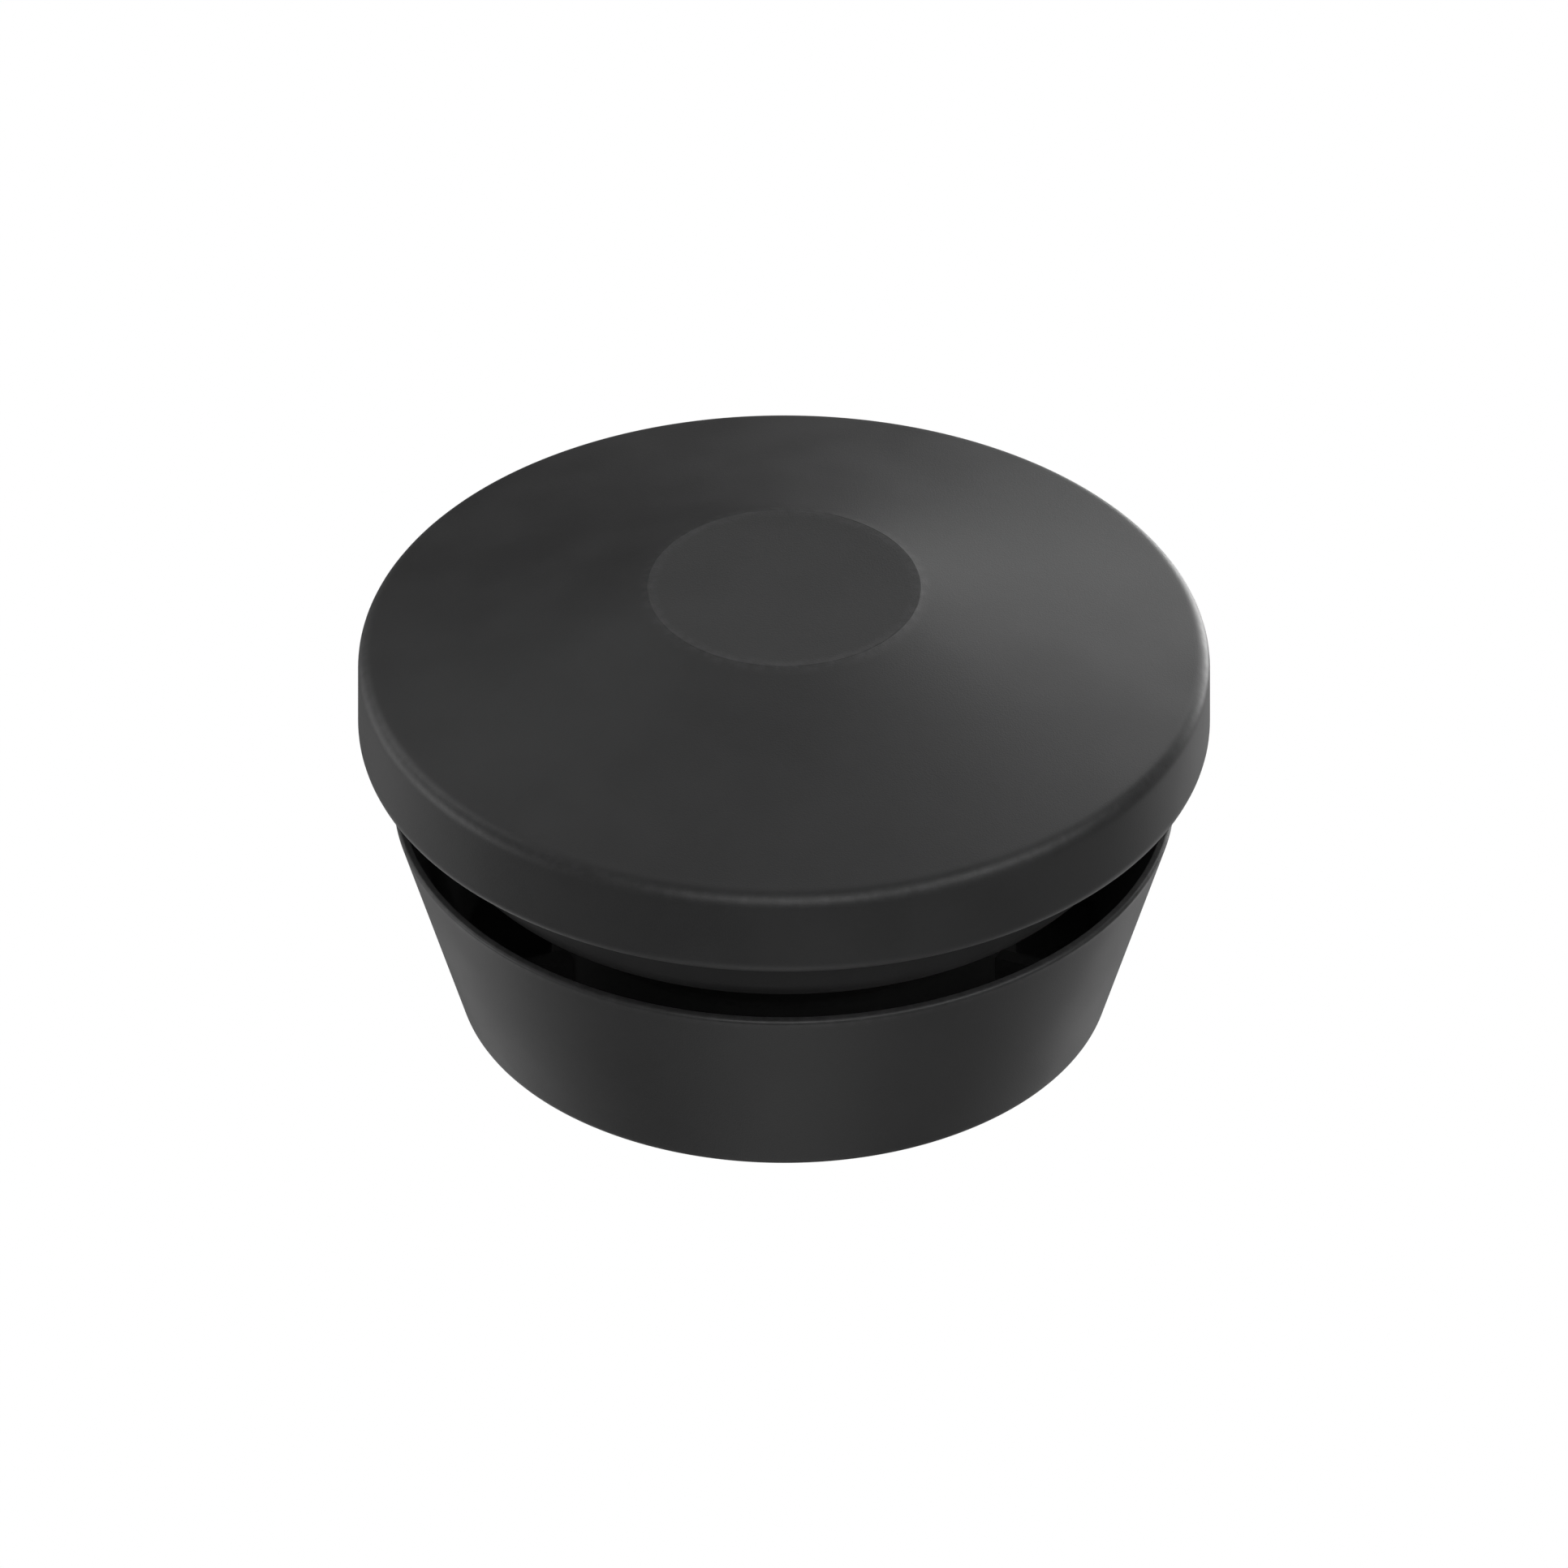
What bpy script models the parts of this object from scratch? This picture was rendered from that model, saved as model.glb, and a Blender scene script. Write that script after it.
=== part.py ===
"""A closed desk grommet for a 60 mm hole, as sixteen separate pieces.

The cap rests on the desk and its collar drops into the hole. A tapered cup hangs below on a centre bolt, and a
thumb nut draws the cup up the bolt, so that the desk's panel is clamped between the cap's underside and the cup's
lip. A spring inside pushes the cup back down when the nut is slackened.

The origin is the middle of the cup's foot, with +Z up. Dimensions are millimetres, and MM turns them to metres.
"""

import math

import bmesh
import bpy
from mathutils import Matrix, Vector

MM = 0.001

# Fineness of the turned shapes.
RING_STEPS = 64
SMALL_STEPS = 32
FILLET_STEPS = 3

# Gap between pieces that touch, and the wider one between pieces that slide.
GAP = 0.3
SLIDE_GAP = 0.35

# How far a joined shape starts inside its target, and how far a cutter goes past it.
BITE = 0.7
PAST = 1.0

# Cap.
CAP_RADIUS = 36.0
CAP_UNDERSIDE = 25.4
RIM_TOP = 33.4
RIM_TOP_FILLET = 1.5
RIM_LOW_FILLET = 1.4
DISC_RADIUS = 11.53
CAP_TOP = 40.46
CAP_WALL = 2.3
RIM_INNER_RADIUS = 32.4
PILLAR_RADIUS = 13.4
RIB_COUNT = 6
RIB_THICKNESS = 1.6
RIB_DEPTH = 4.4

# Disc that closes the cap's middle.
DISC_THICKNESS = 1.56
SKIRT_OUTER_RADIUS = 10.2
SKIRT_INNER_RADIUS = 8.8
SKIRT_LENGTH = 2.4

# Collar in the desk's hole.
COLLAR_RADIUS = 29.95
COLLAR_BOTTOM = 18.7
COLLAR_FILLET = 1.7
COLLAR_WALL = 2.25
FLANGE_RADIUS = 33.5
FLANGE_TOP = 28.0
HUB_RADIUS = 11.2
SPRING_POCKET_RADIUS = 8.6
SPRING_POCKET_TOP = 25.4
SEAL_GROOVE = (30.8, 33.0)
SEAL_DEPTH = 1.0
POST_RADIUS = 1.6
POST_OFFSET = 14.5
POST_BOTTOM = 8.6

# Screws that hold the collar to the cap.
SCREW_COUNT = 3
SCREW_FIRST_ANGLE = 30
SCREW_OFFSET = 22.0
SCREW_RADIUS = 1.4
SCREW_HEAD_RADIUS = 2.7
SCREW_HEAD_LOW = 19.1
SCREW_HEAD_HEIGHT = 2.0
SCREW_TOP = 33.4
SCREW_SOCKET_RADIUS = 1.25
SCREW_SOCKET_DEPTH = 1.2
BOSS_RADIUS = 3.4
TUBE_RADIUS = 4.0
BOSS_TOP = 36.3

# Centre bolt, M6, and the nut and washer that fix it to the collar.
BOLT_RADIUS = 2.85
BOLT_HOLE_RADIUS = 3.3
BOLT_END = 0.7
BOLT_CHAMFER = 0.4
HEX_RADIUS = 10.0 / math.sqrt(3)
BOLT_HEAD_LOW = 32.6
BOLT_HEAD_HEIGHT = 4.0
THREAD_BORE_RADIUS = 3.15
WASHER_RADIUS = 8.3
WASHER_THICKNESS = 0.9
LOCK_NUT_HEIGHT = 3.2

# Clip in a groove at the bolt's lower end, which stops the thumb nut.
CLIP_LOW = 2.0
CLIP_THICKNESS = 0.65
CLIP_INNER_RADIUS = 2.4
CLIP_OUTER_RADIUS = 4.6
CLIP_MOUTH = 3.6
CLIP_GROOVE_RADIUS = 2.1

# Release spring.
WIRE_RADIUS = 0.45
COIL_RADIUS = 7.2
SPRING_TURNS = 5.5
SPRING_END_TURNS = 0.75
SPRING_POINTS_PER_TURN = 18

# Clamping cup.
FOOT_RADIUS = 27.3
CUP_TAPER = 0.3077
LIP_TOP = 18.78
LIP_FILLET = 0.3
FOOT_FILLET = 0.85
CUP_WALL = 1.1
FOOT_INNER_RADIUS = 24.6
FOOT_RECESS = 0.8
CUP_FLOOR = 2.4
NUT_POCKET_RADIUS = 18.0
NUT_POCKET_WALL = 1.6
ROOF_LOW = 9.4
ROOF_TOP = 11.2
SPRING_RIM = (8.0, 9.4)
SPRING_RIM_HEIGHT = 1.5
CUP_RIB_COUNT = 8
CUP_RIB_THICKNESS = 1.4
CUP_RIB_TOP = 8.0

# Thumb nut, its threaded insert and its washer.
NUT_LOW = 3.0
NUT_TOP = 8.1
NUT_RADIUS = 11.2
NUT_GRIPS = 18
NUT_GRIP_DEPTH = 0.4
NUT_POINTS_PER_GRIP = 6
SLOT_WIDTH = 2.0
SLOT_DEPTH = 1.5
INSERT_RADIUS = 4.3
NUT_WASHER_RADIUS = 8.0
NUT_WASHER_THICKNESS = 0.7

CONE_SLOPE = (CAP_TOP - RIM_TOP) / (CAP_RADIUS - DISC_RADIUS)


def cap_height(radius):
    """Height of the cap's conical top at a radius."""
    return CAP_TOP - CONE_SLOPE * (radius - DISC_RADIUS)


def cup_radius(height):
    """Outer radius of the tapered cup at a height."""
    return FOOT_RADIUS + CUP_TAPER * height


def clear_scene():
    for obj in list(bpy.data.objects):
        bpy.data.objects.remove(obj, do_unlink=True)


def new_collection(name):
    collection = bpy.data.collections.new(name)
    bpy.context.scene.collection.children.link(collection)
    return collection


def new_material(name, colour, roughness, metallic=0.0):
    material = bpy.data.materials.new(name)
    material.use_nodes = True
    shader = material.node_tree.nodes["Principled BSDF"]
    shader.inputs["Base Color"].default_value = (*colour, 1.0)
    shader.inputs["Roughness"].default_value = roughness
    shader.inputs["Metallic"].default_value = metallic
    material.diffuse_color = (*colour, 1.0)
    return material


def rounded(corners):
    """The points of a closed outline through corners (radius, height, fillet), with each fillet as an arc."""
    points = []
    for i, (radius, height, fillet) in enumerate(corners):
        here = Vector((radius, height))
        if fillet == 0:
            points.append(here)
            continue
        before = (Vector(corners[i - 1][:2]) - here).normalized()
        after = (Vector(corners[(i + 1) % len(corners)][:2]) - here).normalized()
        half_angle = before.angle(after) / 2
        centre = here + (before + after).normalized() * fillet / math.sin(half_angle)
        start = here + before * fillet / math.tan(half_angle) - centre
        sweep = math.copysign(math.pi - 2 * half_angle, before.cross(after))
        for step in range(FILLET_STEPS + 1):
            turn = Matrix.Rotation(-sweep * step / FILLET_STEPS, 2)
            points.append(centre + turn @ start)
    return points


def add_object(name, mesh, collection, material=None):
    obj = bpy.data.objects.new(name, mesh)
    collection.objects.link(obj)
    if material:
        mesh.materials.append(material)
    return obj


def turned(name, corners, collection, material=None, steps=RING_STEPS):
    """A ring whose section is the outline through corners, which runs down its outer side."""
    points = [(r * MM, 0.0, z * MM) for r, z in rounded(corners)]
    edges = [(i, (i + 1) % len(points)) for i in range(len(points))]
    return screwed(name, points, edges, collection, material, steps)


def turned_solid(name, corners, collection, material=None, steps=SMALL_STEPS):
    """A solid of revolution whose half section (radius, height) starts and ends on the axis."""
    points = [(r * MM, 0.0, z * MM) for r, z in corners]
    edges = [(i, i + 1) for i in range(len(points) - 1)]
    return screwed(name, points, edges, collection, material, steps)


def screwed(name, points, edges, collection, material, steps):
    mesh = bpy.data.meshes.new(name)
    mesh.from_pydata(points, edges, [])
    obj = add_object(name, mesh, collection, material)
    screw = obj.modifiers.new("Turn", "SCREW")
    screw.axis = "Z"
    screw.angle = 2 * math.pi
    screw.steps = steps
    screw.render_steps = steps
    screw.use_merge_vertices = True
    screw.merge_threshold = 0.00001
    screw.use_smooth_shade = False
    return obj


def prism(name, radius, low, high, sides, collection, material=None, offset=(0.0, 0.0)):
    """An upright prism or cylinder."""
    mesh = bpy.data.meshes.new(name)
    shape = bmesh.new()
    middle = Matrix.Translation((offset[0] * MM, offset[1] * MM, (low + high) / 2 * MM))
    bmesh.ops.create_cone(
        shape,
        cap_ends=True,
        segments=sides,
        radius1=radius * MM,
        radius2=radius * MM,
        depth=(high - low) * MM,
        matrix=middle,
    )
    shape.to_mesh(mesh)
    shape.free()
    return add_object(name, mesh, collection, material)


def box(name, low, high, collection):
    """A box between two corners, for a cutter."""
    low = Vector(low) * MM
    high = Vector(high) * MM
    mesh = bpy.data.meshes.new(name)
    shape = bmesh.new()
    bmesh.ops.create_cube(shape, size=1.0)
    bmesh.ops.scale(shape, vec=high - low, verts=shape.verts)
    bmesh.ops.translate(shape, vec=(low + high) / 2, verts=shape.verts)
    shape.to_mesh(mesh)
    shape.free()
    return add_object(name, mesh, collection)


def plate(name, outline, thickness, collection, material=None):
    """A flat outline of points (x, y, z), thickened evenly to both sides."""
    mesh = bpy.data.meshes.new(name)
    shape = bmesh.new()
    corners = [shape.verts.new(Vector(point) * MM) for point in outline]
    shape.faces.new(corners)
    shape.to_mesh(mesh)
    shape.free()
    obj = add_object(name, mesh, collection, material)
    solid = obj.modifiers.new("Thickness", "SOLIDIFY")
    solid.thickness = thickness * MM
    solid.offset = 0.0
    return obj


def combine(target, other, operation):
    """Joins other to target, or cuts it away. The other object stays as a hidden helper."""
    boolean = target.modifiers.new(f"{operation} {other.name}"[:60], "BOOLEAN")
    boolean.operation = operation
    boolean.solver = "EXACT"
    boolean.object = other
    other.hide_render = True
    other.display_type = "WIRE"


def around(radius, count, first=0.0):
    """Points (x, y) evenly spaced round a circle, with the angle of each."""
    for i in range(count):
        angle = math.radians(first) + 2 * math.pi * i / count
        yield radius * math.cos(angle), radius * math.sin(angle), angle


def screw_places():
    return list(around(SCREW_OFFSET, SCREW_COUNT, SCREW_FIRST_ANGLE))


def radial_ribs(target, label, section, thickness, count, first, cutters):
    """Joins upright ribs of one section, given as (radius, height) points, evenly round the axis."""
    for i, (_, _, angle) in enumerate(around(1.0, count, first)):
        outline = [(r, 0.0, z) for r, z in section]
        rib = plate(f"{label}_{i + 1}", outline, thickness, cutters)
        rib.rotation_euler.z = angle
        combine(target, rib, "UNION")


def make_cap_shell(parts, cutters, material):
    """The conical cover: a hollow shell with a rim, a middle pillar, ribs and screw bosses."""
    disc_seat = CAP_TOP - DISC_THICKNESS - GAP
    skirt_floor = disc_seat - SKIRT_LENGTH
    well_radius = DISC_RADIUS + GAP
    shoulder = FLANGE_TOP + GAP
    shell = turned(
        "cap_shell",
        [
            (well_radius, cap_height(well_radius), 0),
            (CAP_RADIUS, RIM_TOP, RIM_TOP_FILLET),
            (CAP_RADIUS, CAP_UNDERSIDE, RIM_LOW_FILLET),
            (FLANGE_RADIUS + GAP, CAP_UNDERSIDE, 0),
            (FLANGE_RADIUS + GAP, shoulder, 0),
            (RIM_INNER_RADIUS, shoulder, 0),
            (RIM_INNER_RADIUS, cap_height(RIM_INNER_RADIUS) - CAP_WALL, 0),
            (PILLAR_RADIUS, cap_height(PILLAR_RADIUS) - CAP_WALL, 0),
            (PILLAR_RADIUS, shoulder, 0),
            (BOLT_HOLE_RADIUS, shoulder, 0),
            (BOLT_HOLE_RADIUS, skirt_floor, 0),
            (SKIRT_OUTER_RADIUS + GAP, skirt_floor, 0),
            (SKIRT_OUTER_RADIUS + GAP, disc_seat, 0),
            (well_radius, disc_seat, 0),
        ],
        parts,
        material,
    )
    inner_end = PILLAR_RADIUS - BITE
    outer_end = RIM_INNER_RADIUS + BITE
    inner_top = cap_height(inner_end) - CAP_WALL / 2
    outer_top = cap_height(outer_end) - CAP_WALL / 2
    rib = [
        (inner_end, inner_top),
        (inner_end, inner_top - RIB_DEPTH),
        (outer_end, outer_top - RIB_DEPTH),
        (outer_end, outer_top),
    ]
    radial_ribs(shell, "cap_rib", rib, RIB_THICKNESS, RIB_COUNT, 0, cutters)
    for i, (x, y, _) in enumerate(screw_places()):
        boss = prism(f"cap_boss_{i + 1}", BOSS_RADIUS, shoulder, BOSS_TOP, 20, cutters, offset=(x, y))
        combine(shell, boss, "UNION")
        pilot = prism(
            f"cap_pilot_{i + 1}", SCREW_RADIUS + GAP, shoulder - PAST, SCREW_TOP + GAP, 12, cutters, offset=(x, y)
        )
        combine(shell, pilot, "DIFFERENCE")
    head_pocket = prism("head_pocket", HEX_RADIUS + GAP, BOLT_HEAD_LOW - GAP, CAP_TOP, 6, cutters)
    combine(shell, head_pocket, "DIFFERENCE")
    return shell


def make_centre_disc(parts, material):
    """The blank disc pressed into the cap's middle, over the bolt's head."""
    low = CAP_TOP - DISC_THICKNESS
    return turned_solid(
        "centre_disc",
        [
            (0.0, CAP_TOP),
            (DISC_RADIUS, CAP_TOP),
            (DISC_RADIUS, low),
            (SKIRT_OUTER_RADIUS, low),
            (SKIRT_OUTER_RADIUS, low - SKIRT_LENGTH),
            (SKIRT_INNER_RADIUS, low - SKIRT_LENGTH),
            (SKIRT_INNER_RADIUS, low),
            (0.0, low),
        ],
        parts,
        material,
        steps=RING_STEPS,
    )


def make_locating_collar(parts, cutters, material):
    """The spigot that fills the desk's hole, with its flange let into the cap and two posts that guide the cup."""
    web_top = COLLAR_BOTTOM + COLLAR_WALL
    groove_inner, groove_outer = SEAL_GROOVE
    collar = turned(
        "locating_collar",
        [
            (FLANGE_RADIUS, FLANGE_TOP, 0),
            (FLANGE_RADIUS, CAP_UNDERSIDE, 0),
            (groove_outer, CAP_UNDERSIDE, 0),
            (groove_outer, CAP_UNDERSIDE + SEAL_DEPTH, 0),
            (groove_inner, CAP_UNDERSIDE + SEAL_DEPTH, 0),
            (groove_inner, CAP_UNDERSIDE, 0),
            (COLLAR_RADIUS, CAP_UNDERSIDE, 0),
            (COLLAR_RADIUS, COLLAR_BOTTOM, COLLAR_FILLET),
            (SPRING_POCKET_RADIUS, COLLAR_BOTTOM, 0),
            (SPRING_POCKET_RADIUS, SPRING_POCKET_TOP, 0),
            (BOLT_HOLE_RADIUS, SPRING_POCKET_TOP, 0),
            (BOLT_HOLE_RADIUS, FLANGE_TOP, 0),
            (HUB_RADIUS, FLANGE_TOP, 0),
            (HUB_RADIUS, web_top, 0),
            (COLLAR_RADIUS - COLLAR_WALL, web_top, 0),
            (COLLAR_RADIUS - COLLAR_WALL, FLANGE_TOP, 0),
        ],
        parts,
        material,
    )
    counterbore_top = SCREW_HEAD_LOW + SCREW_HEAD_HEIGHT + GAP
    for i, (x, y, _) in enumerate(screw_places()):
        place = (x, y)
        tube = prism(f"collar_tube_{i + 1}", TUBE_RADIUS, web_top - BITE, FLANGE_TOP, 20, cutters, offset=place)
        combine(collar, tube, "UNION")
        hole = prism(
            f"collar_hole_{i + 1}", SCREW_RADIUS + GAP, COLLAR_BOTTOM, FLANGE_TOP + PAST, 12, cutters, offset=place
        )
        combine(collar, hole, "DIFFERENCE")
        counterbore = prism(
            f"counterbore_{i + 1}",
            SCREW_HEAD_RADIUS + GAP,
            COLLAR_BOTTOM - PAST,
            counterbore_top,
            20,
            cutters,
            offset=place,
        )
        combine(collar, counterbore, "DIFFERENCE")
    for side, x in (("left", -POST_OFFSET), ("right", POST_OFFSET)):
        post = prism(f"guide_post_{side}", POST_RADIUS, POST_BOTTOM, web_top - BITE, 16, cutters, offset=(x, 0.0))
        combine(collar, post, "UNION")
    return collar


def flat_ring(name, inner, outer, low, high, parts, material, steps=SMALL_STEPS):
    corners = [(outer, high, 0), (outer, low, 0), (inner, low, 0), (inner, high, 0)]
    return turned(name, corners, parts, material, steps)


def make_seal_ring(parts, material):
    """The foam ring in the flange's groove, flush with the underside as it is when squeezed on the desk."""
    inner, outer = SEAL_GROOVE
    top = CAP_UNDERSIDE + SEAL_DEPTH - GAP
    return flat_ring("seal_ring", inner + GAP, outer - GAP, CAP_UNDERSIDE, top, parts, material, RING_STEPS)


def make_collar_screws(parts, cutters, material):
    """Three alike, which share one mesh, heads down in the collar's counterbores."""
    length = SCREW_TOP - SCREW_HEAD_LOW
    first = turned_solid(
        "collar_screw_1",
        [
            (0.0, length),
            (SCREW_RADIUS, length - SCREW_RADIUS),
            (SCREW_RADIUS, SCREW_HEAD_HEIGHT),
            (SCREW_HEAD_RADIUS, SCREW_HEAD_HEIGHT),
            (SCREW_HEAD_RADIUS, 0.0),
            (0.0, 0.0),
        ],
        parts,
        material,
        steps=16,
    )
    screws = [first]
    for i in range(1, SCREW_COUNT):
        twin = first.copy()
        twin.name = f"collar_screw_{i + 1}"
        parts.objects.link(twin)
        screws.append(twin)
    for i, (screw, (x, y, _)) in enumerate(zip(screws, screw_places())):
        screw.location = Vector((x, y, SCREW_HEAD_LOW)) * MM
        socket_top = SCREW_HEAD_LOW + SCREW_SOCKET_DEPTH
        socket = prism(
            f"screw_socket_{i + 1}", SCREW_SOCKET_RADIUS, SCREW_HEAD_LOW - PAST, socket_top, 6, cutters, offset=(x, y)
        )
        combine(screw, socket, "DIFFERENCE")
    return screws


def make_centre_bolt(parts, cutters, material):
    """The M6 bolt through the cap, the collar and the cup, with a groove for its clip."""
    head_top = BOLT_HEAD_LOW + BOLT_HEAD_HEIGHT
    groove_low = CLIP_LOW - GAP / 2
    groove_top = CLIP_LOW + CLIP_THICKNESS + GAP / 2
    bolt = turned_solid(
        "centre_bolt",
        [
            (0.0, BOLT_HEAD_LOW + BITE),
            (BOLT_RADIUS, BOLT_HEAD_LOW + BITE),
            (BOLT_RADIUS, groove_top),
            (CLIP_GROOVE_RADIUS, groove_top),
            (CLIP_GROOVE_RADIUS, groove_low),
            (BOLT_RADIUS, groove_low),
            (BOLT_RADIUS, BOLT_END + BOLT_CHAMFER),
            (BOLT_RADIUS - BOLT_CHAMFER, BOLT_END),
            (0.0, BOLT_END),
        ],
        parts,
        material,
        steps=24,
    )
    head = prism("bolt_head", HEX_RADIUS, BOLT_HEAD_LOW, head_top, 6, cutters)
    combine(bolt, head, "UNION")
    return bolt


def make_spring_washer(parts, material):
    """The washer between the lock nut and the collar, which is the spring's upper seat."""
    top = SPRING_POCKET_TOP - GAP
    low = top - WASHER_THICKNESS
    return flat_ring("spring_washer", BOLT_HOLE_RADIUS, WASHER_RADIUS, low, top, parts, material)


def make_lock_nut(parts, cutters, material):
    """The thin nut that fixes the bolt to the collar."""
    top = SPRING_POCKET_TOP - GAP - WASHER_THICKNESS - GAP
    low = top - LOCK_NUT_HEIGHT
    nut = prism("lock_nut", HEX_RADIUS, low, top, 6, parts, material)
    bore = prism("lock_nut_bore", THREAD_BORE_RADIUS, low - PAST, top + PAST, 24, cutters)
    combine(nut, bore, "DIFFERENCE")
    return nut


def make_release_spring(parts, material):
    """The coil between the cup's roof and the washer, with closed end turns."""
    low = ROOF_TOP + GAP + WIRE_RADIUS
    high = SPRING_POCKET_TOP - GAP - WASHER_THICKNESS - GAP - WIRE_RADIUS
    end_rise = SPRING_END_TURNS * 2 * WIRE_RADIUS
    body_turns = SPRING_TURNS - 2 * SPRING_END_TURNS

    def height(turns):
        if turns < SPRING_END_TURNS:
            return low + end_rise * turns / SPRING_END_TURNS
        if turns > SPRING_TURNS - SPRING_END_TURNS:
            return high - end_rise * (SPRING_TURNS - turns) / SPRING_END_TURNS
        share = (turns - SPRING_END_TURNS) / body_turns
        return low + end_rise + (high - low - 2 * end_rise) * share

    count = round(SPRING_TURNS * SPRING_POINTS_PER_TURN)
    curve = bpy.data.curves.new("release_spring", "CURVE")
    curve.dimensions = "3D"
    curve.bevel_depth = WIRE_RADIUS * MM
    curve.bevel_resolution = 1
    curve.use_fill_caps = True
    wire = curve.splines.new("POLY")
    wire.points.add(count)
    for i, point in enumerate(wire.points):
        turns = SPRING_TURNS * i / count
        angle = 2 * math.pi * turns
        x = COIL_RADIUS * math.cos(angle)
        y = COIL_RADIUS * math.sin(angle)
        point.co = (x * MM, y * MM, height(turns) * MM, 1.0)
    curve.materials.append(material)
    spring = bpy.data.objects.new("release_spring", curve)
    parts.objects.link(spring)
    return spring


def make_end_clip(parts, cutters, material):
    """The open ring snapped into the bolt's groove."""
    high = CLIP_LOW + CLIP_THICKNESS
    clip = flat_ring("end_clip", CLIP_INNER_RADIUS, CLIP_OUTER_RADIUS, CLIP_LOW, high, parts, material, 24)
    half_mouth = CLIP_MOUTH / 2
    low_corner = (0.0, -half_mouth, CLIP_LOW - PAST)
    high_corner = (CLIP_OUTER_RADIUS + PAST, half_mouth, high + PAST)
    mouth = box("clip_mouth", low_corner, high_corner, cutters)
    combine(clip, mouth, "DIFFERENCE")
    return clip


def make_clamp_cup(parts, cutters, material):
    """The tapered cup: a thin outer wall with a narrow lip, a channel, and a pocket for the thumb nut below."""
    pocket_outer = NUT_POCKET_RADIUS + NUT_POCKET_WALL
    rim_inner, rim_outer = SPRING_RIM
    hole = BOLT_RADIUS + SLIDE_GAP
    cup = turned(
        "clamp_cup",
        [
            (cup_radius(LIP_TOP), LIP_TOP, LIP_FILLET),
            (FOOT_RADIUS, 0.0, FOOT_FILLET),
            (FOOT_INNER_RADIUS, 0.0, 0),
            (FOOT_INNER_RADIUS, FOOT_RECESS, 0),
            (NUT_POCKET_RADIUS, FOOT_RECESS, 0),
            (NUT_POCKET_RADIUS, ROOF_LOW, 0),
            (hole, ROOF_LOW, 0),
            (hole, ROOF_TOP, 0),
            (rim_inner, ROOF_TOP, 0),
            (rim_inner, ROOF_TOP + SPRING_RIM_HEIGHT, 0),
            (rim_outer, ROOF_TOP + SPRING_RIM_HEIGHT, 0),
            (rim_outer, ROOF_TOP, 0),
            (pocket_outer, ROOF_TOP, 0),
            (pocket_outer, CUP_FLOOR, 0),
            (cup_radius(CUP_FLOOR) - CUP_WALL, CUP_FLOOR, 0),
            (cup_radius(LIP_TOP) - CUP_WALL, LIP_TOP, LIP_FILLET),
        ],
        parts,
        material,
    )
    rib_low = (FOOT_RECESS + CUP_FLOOR) / 2
    inner_end = NUT_POCKET_RADIUS + NUT_POCKET_WALL / 2
    rib = [
        (inner_end, rib_low),
        (cup_radius(rib_low) - CUP_WALL / 2, rib_low),
        (cup_radius(CUP_RIB_TOP) - CUP_WALL / 2, CUP_RIB_TOP),
        (inner_end, CUP_RIB_TOP),
    ]
    first_rib = 180 / CUP_RIB_COUNT
    radial_ribs(cup, "cup_rib", rib, CUP_RIB_THICKNESS, CUP_RIB_COUNT, first_rib, cutters)
    for side, x in (("left", -POST_OFFSET), ("right", POST_OFFSET)):
        hole_radius = POST_RADIUS + SLIDE_GAP
        guide = prism(f"post_hole_{side}", hole_radius, ROOF_LOW - PAST, ROOF_TOP + PAST, 16, cutters, offset=(x, 0.0))
        combine(cup, guide, "DIFFERENCE")
    return cup


def make_nut_washer(parts, material):
    """The washer that the thumb nut pushes up against the cup's roof."""
    top = ROOF_LOW - GAP
    low = top - NUT_WASHER_THICKNESS
    return flat_ring("nut_washer", BOLT_HOLE_RADIUS, NUT_WASHER_RADIUS, low, top, parts, material)


def make_thumb_nut(parts, cutters, material):
    """The scalloped knob with a slot for a flat driver across its underside."""
    middle = (NUT_LOW + NUT_TOP) / 2
    count = NUT_GRIPS * NUT_POINTS_PER_GRIP
    outline = []
    for i in range(count):
        angle = 2 * math.pi * i / count
        radius = NUT_RADIUS + NUT_GRIP_DEPTH * math.cos(NUT_GRIPS * angle)
        outline.append((radius * math.cos(angle), radius * math.sin(angle), middle))
    nut = plate("thumb_nut", outline, NUT_TOP - NUT_LOW, parts, material)
    bore = prism("thumb_nut_bore", INSERT_RADIUS + GAP, NUT_LOW - PAST, NUT_TOP + PAST, 24, cutters)
    combine(nut, bore, "DIFFERENCE")
    half_width = SLOT_WIDTH / 2
    reach = NUT_RADIUS + NUT_GRIP_DEPTH + PAST
    low_corner = (-reach, -half_width, NUT_LOW - PAST)
    high_corner = (reach, half_width, NUT_LOW + SLOT_DEPTH)
    slot = box("slot", low_corner, high_corner, cutters)
    combine(nut, slot, "DIFFERENCE")
    return nut


def make_nut_insert(parts, material):
    """The threaded brass insert moulded into the thumb nut."""
    return flat_ring("nut_insert", THREAD_BORE_RADIUS, INSERT_RADIUS, NUT_LOW, NUT_TOP, parts, material, 24)


def body(name, height, pieces, collection, parent=None):
    """An empty on the bolt's axis that carries the pieces which move together."""
    empty = bpy.data.objects.new(name, None)
    empty.location.z = height * MM
    collection.objects.link(empty)
    if parent:
        empty.parent = parent
        empty.matrix_parent_inverse = Matrix.Translation(-parent.location)
    for piece in pieces:
        piece.parent = empty
        piece.matrix_parent_inverse = Matrix.Translation((0.0, 0.0, -height * MM))
    return empty


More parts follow.
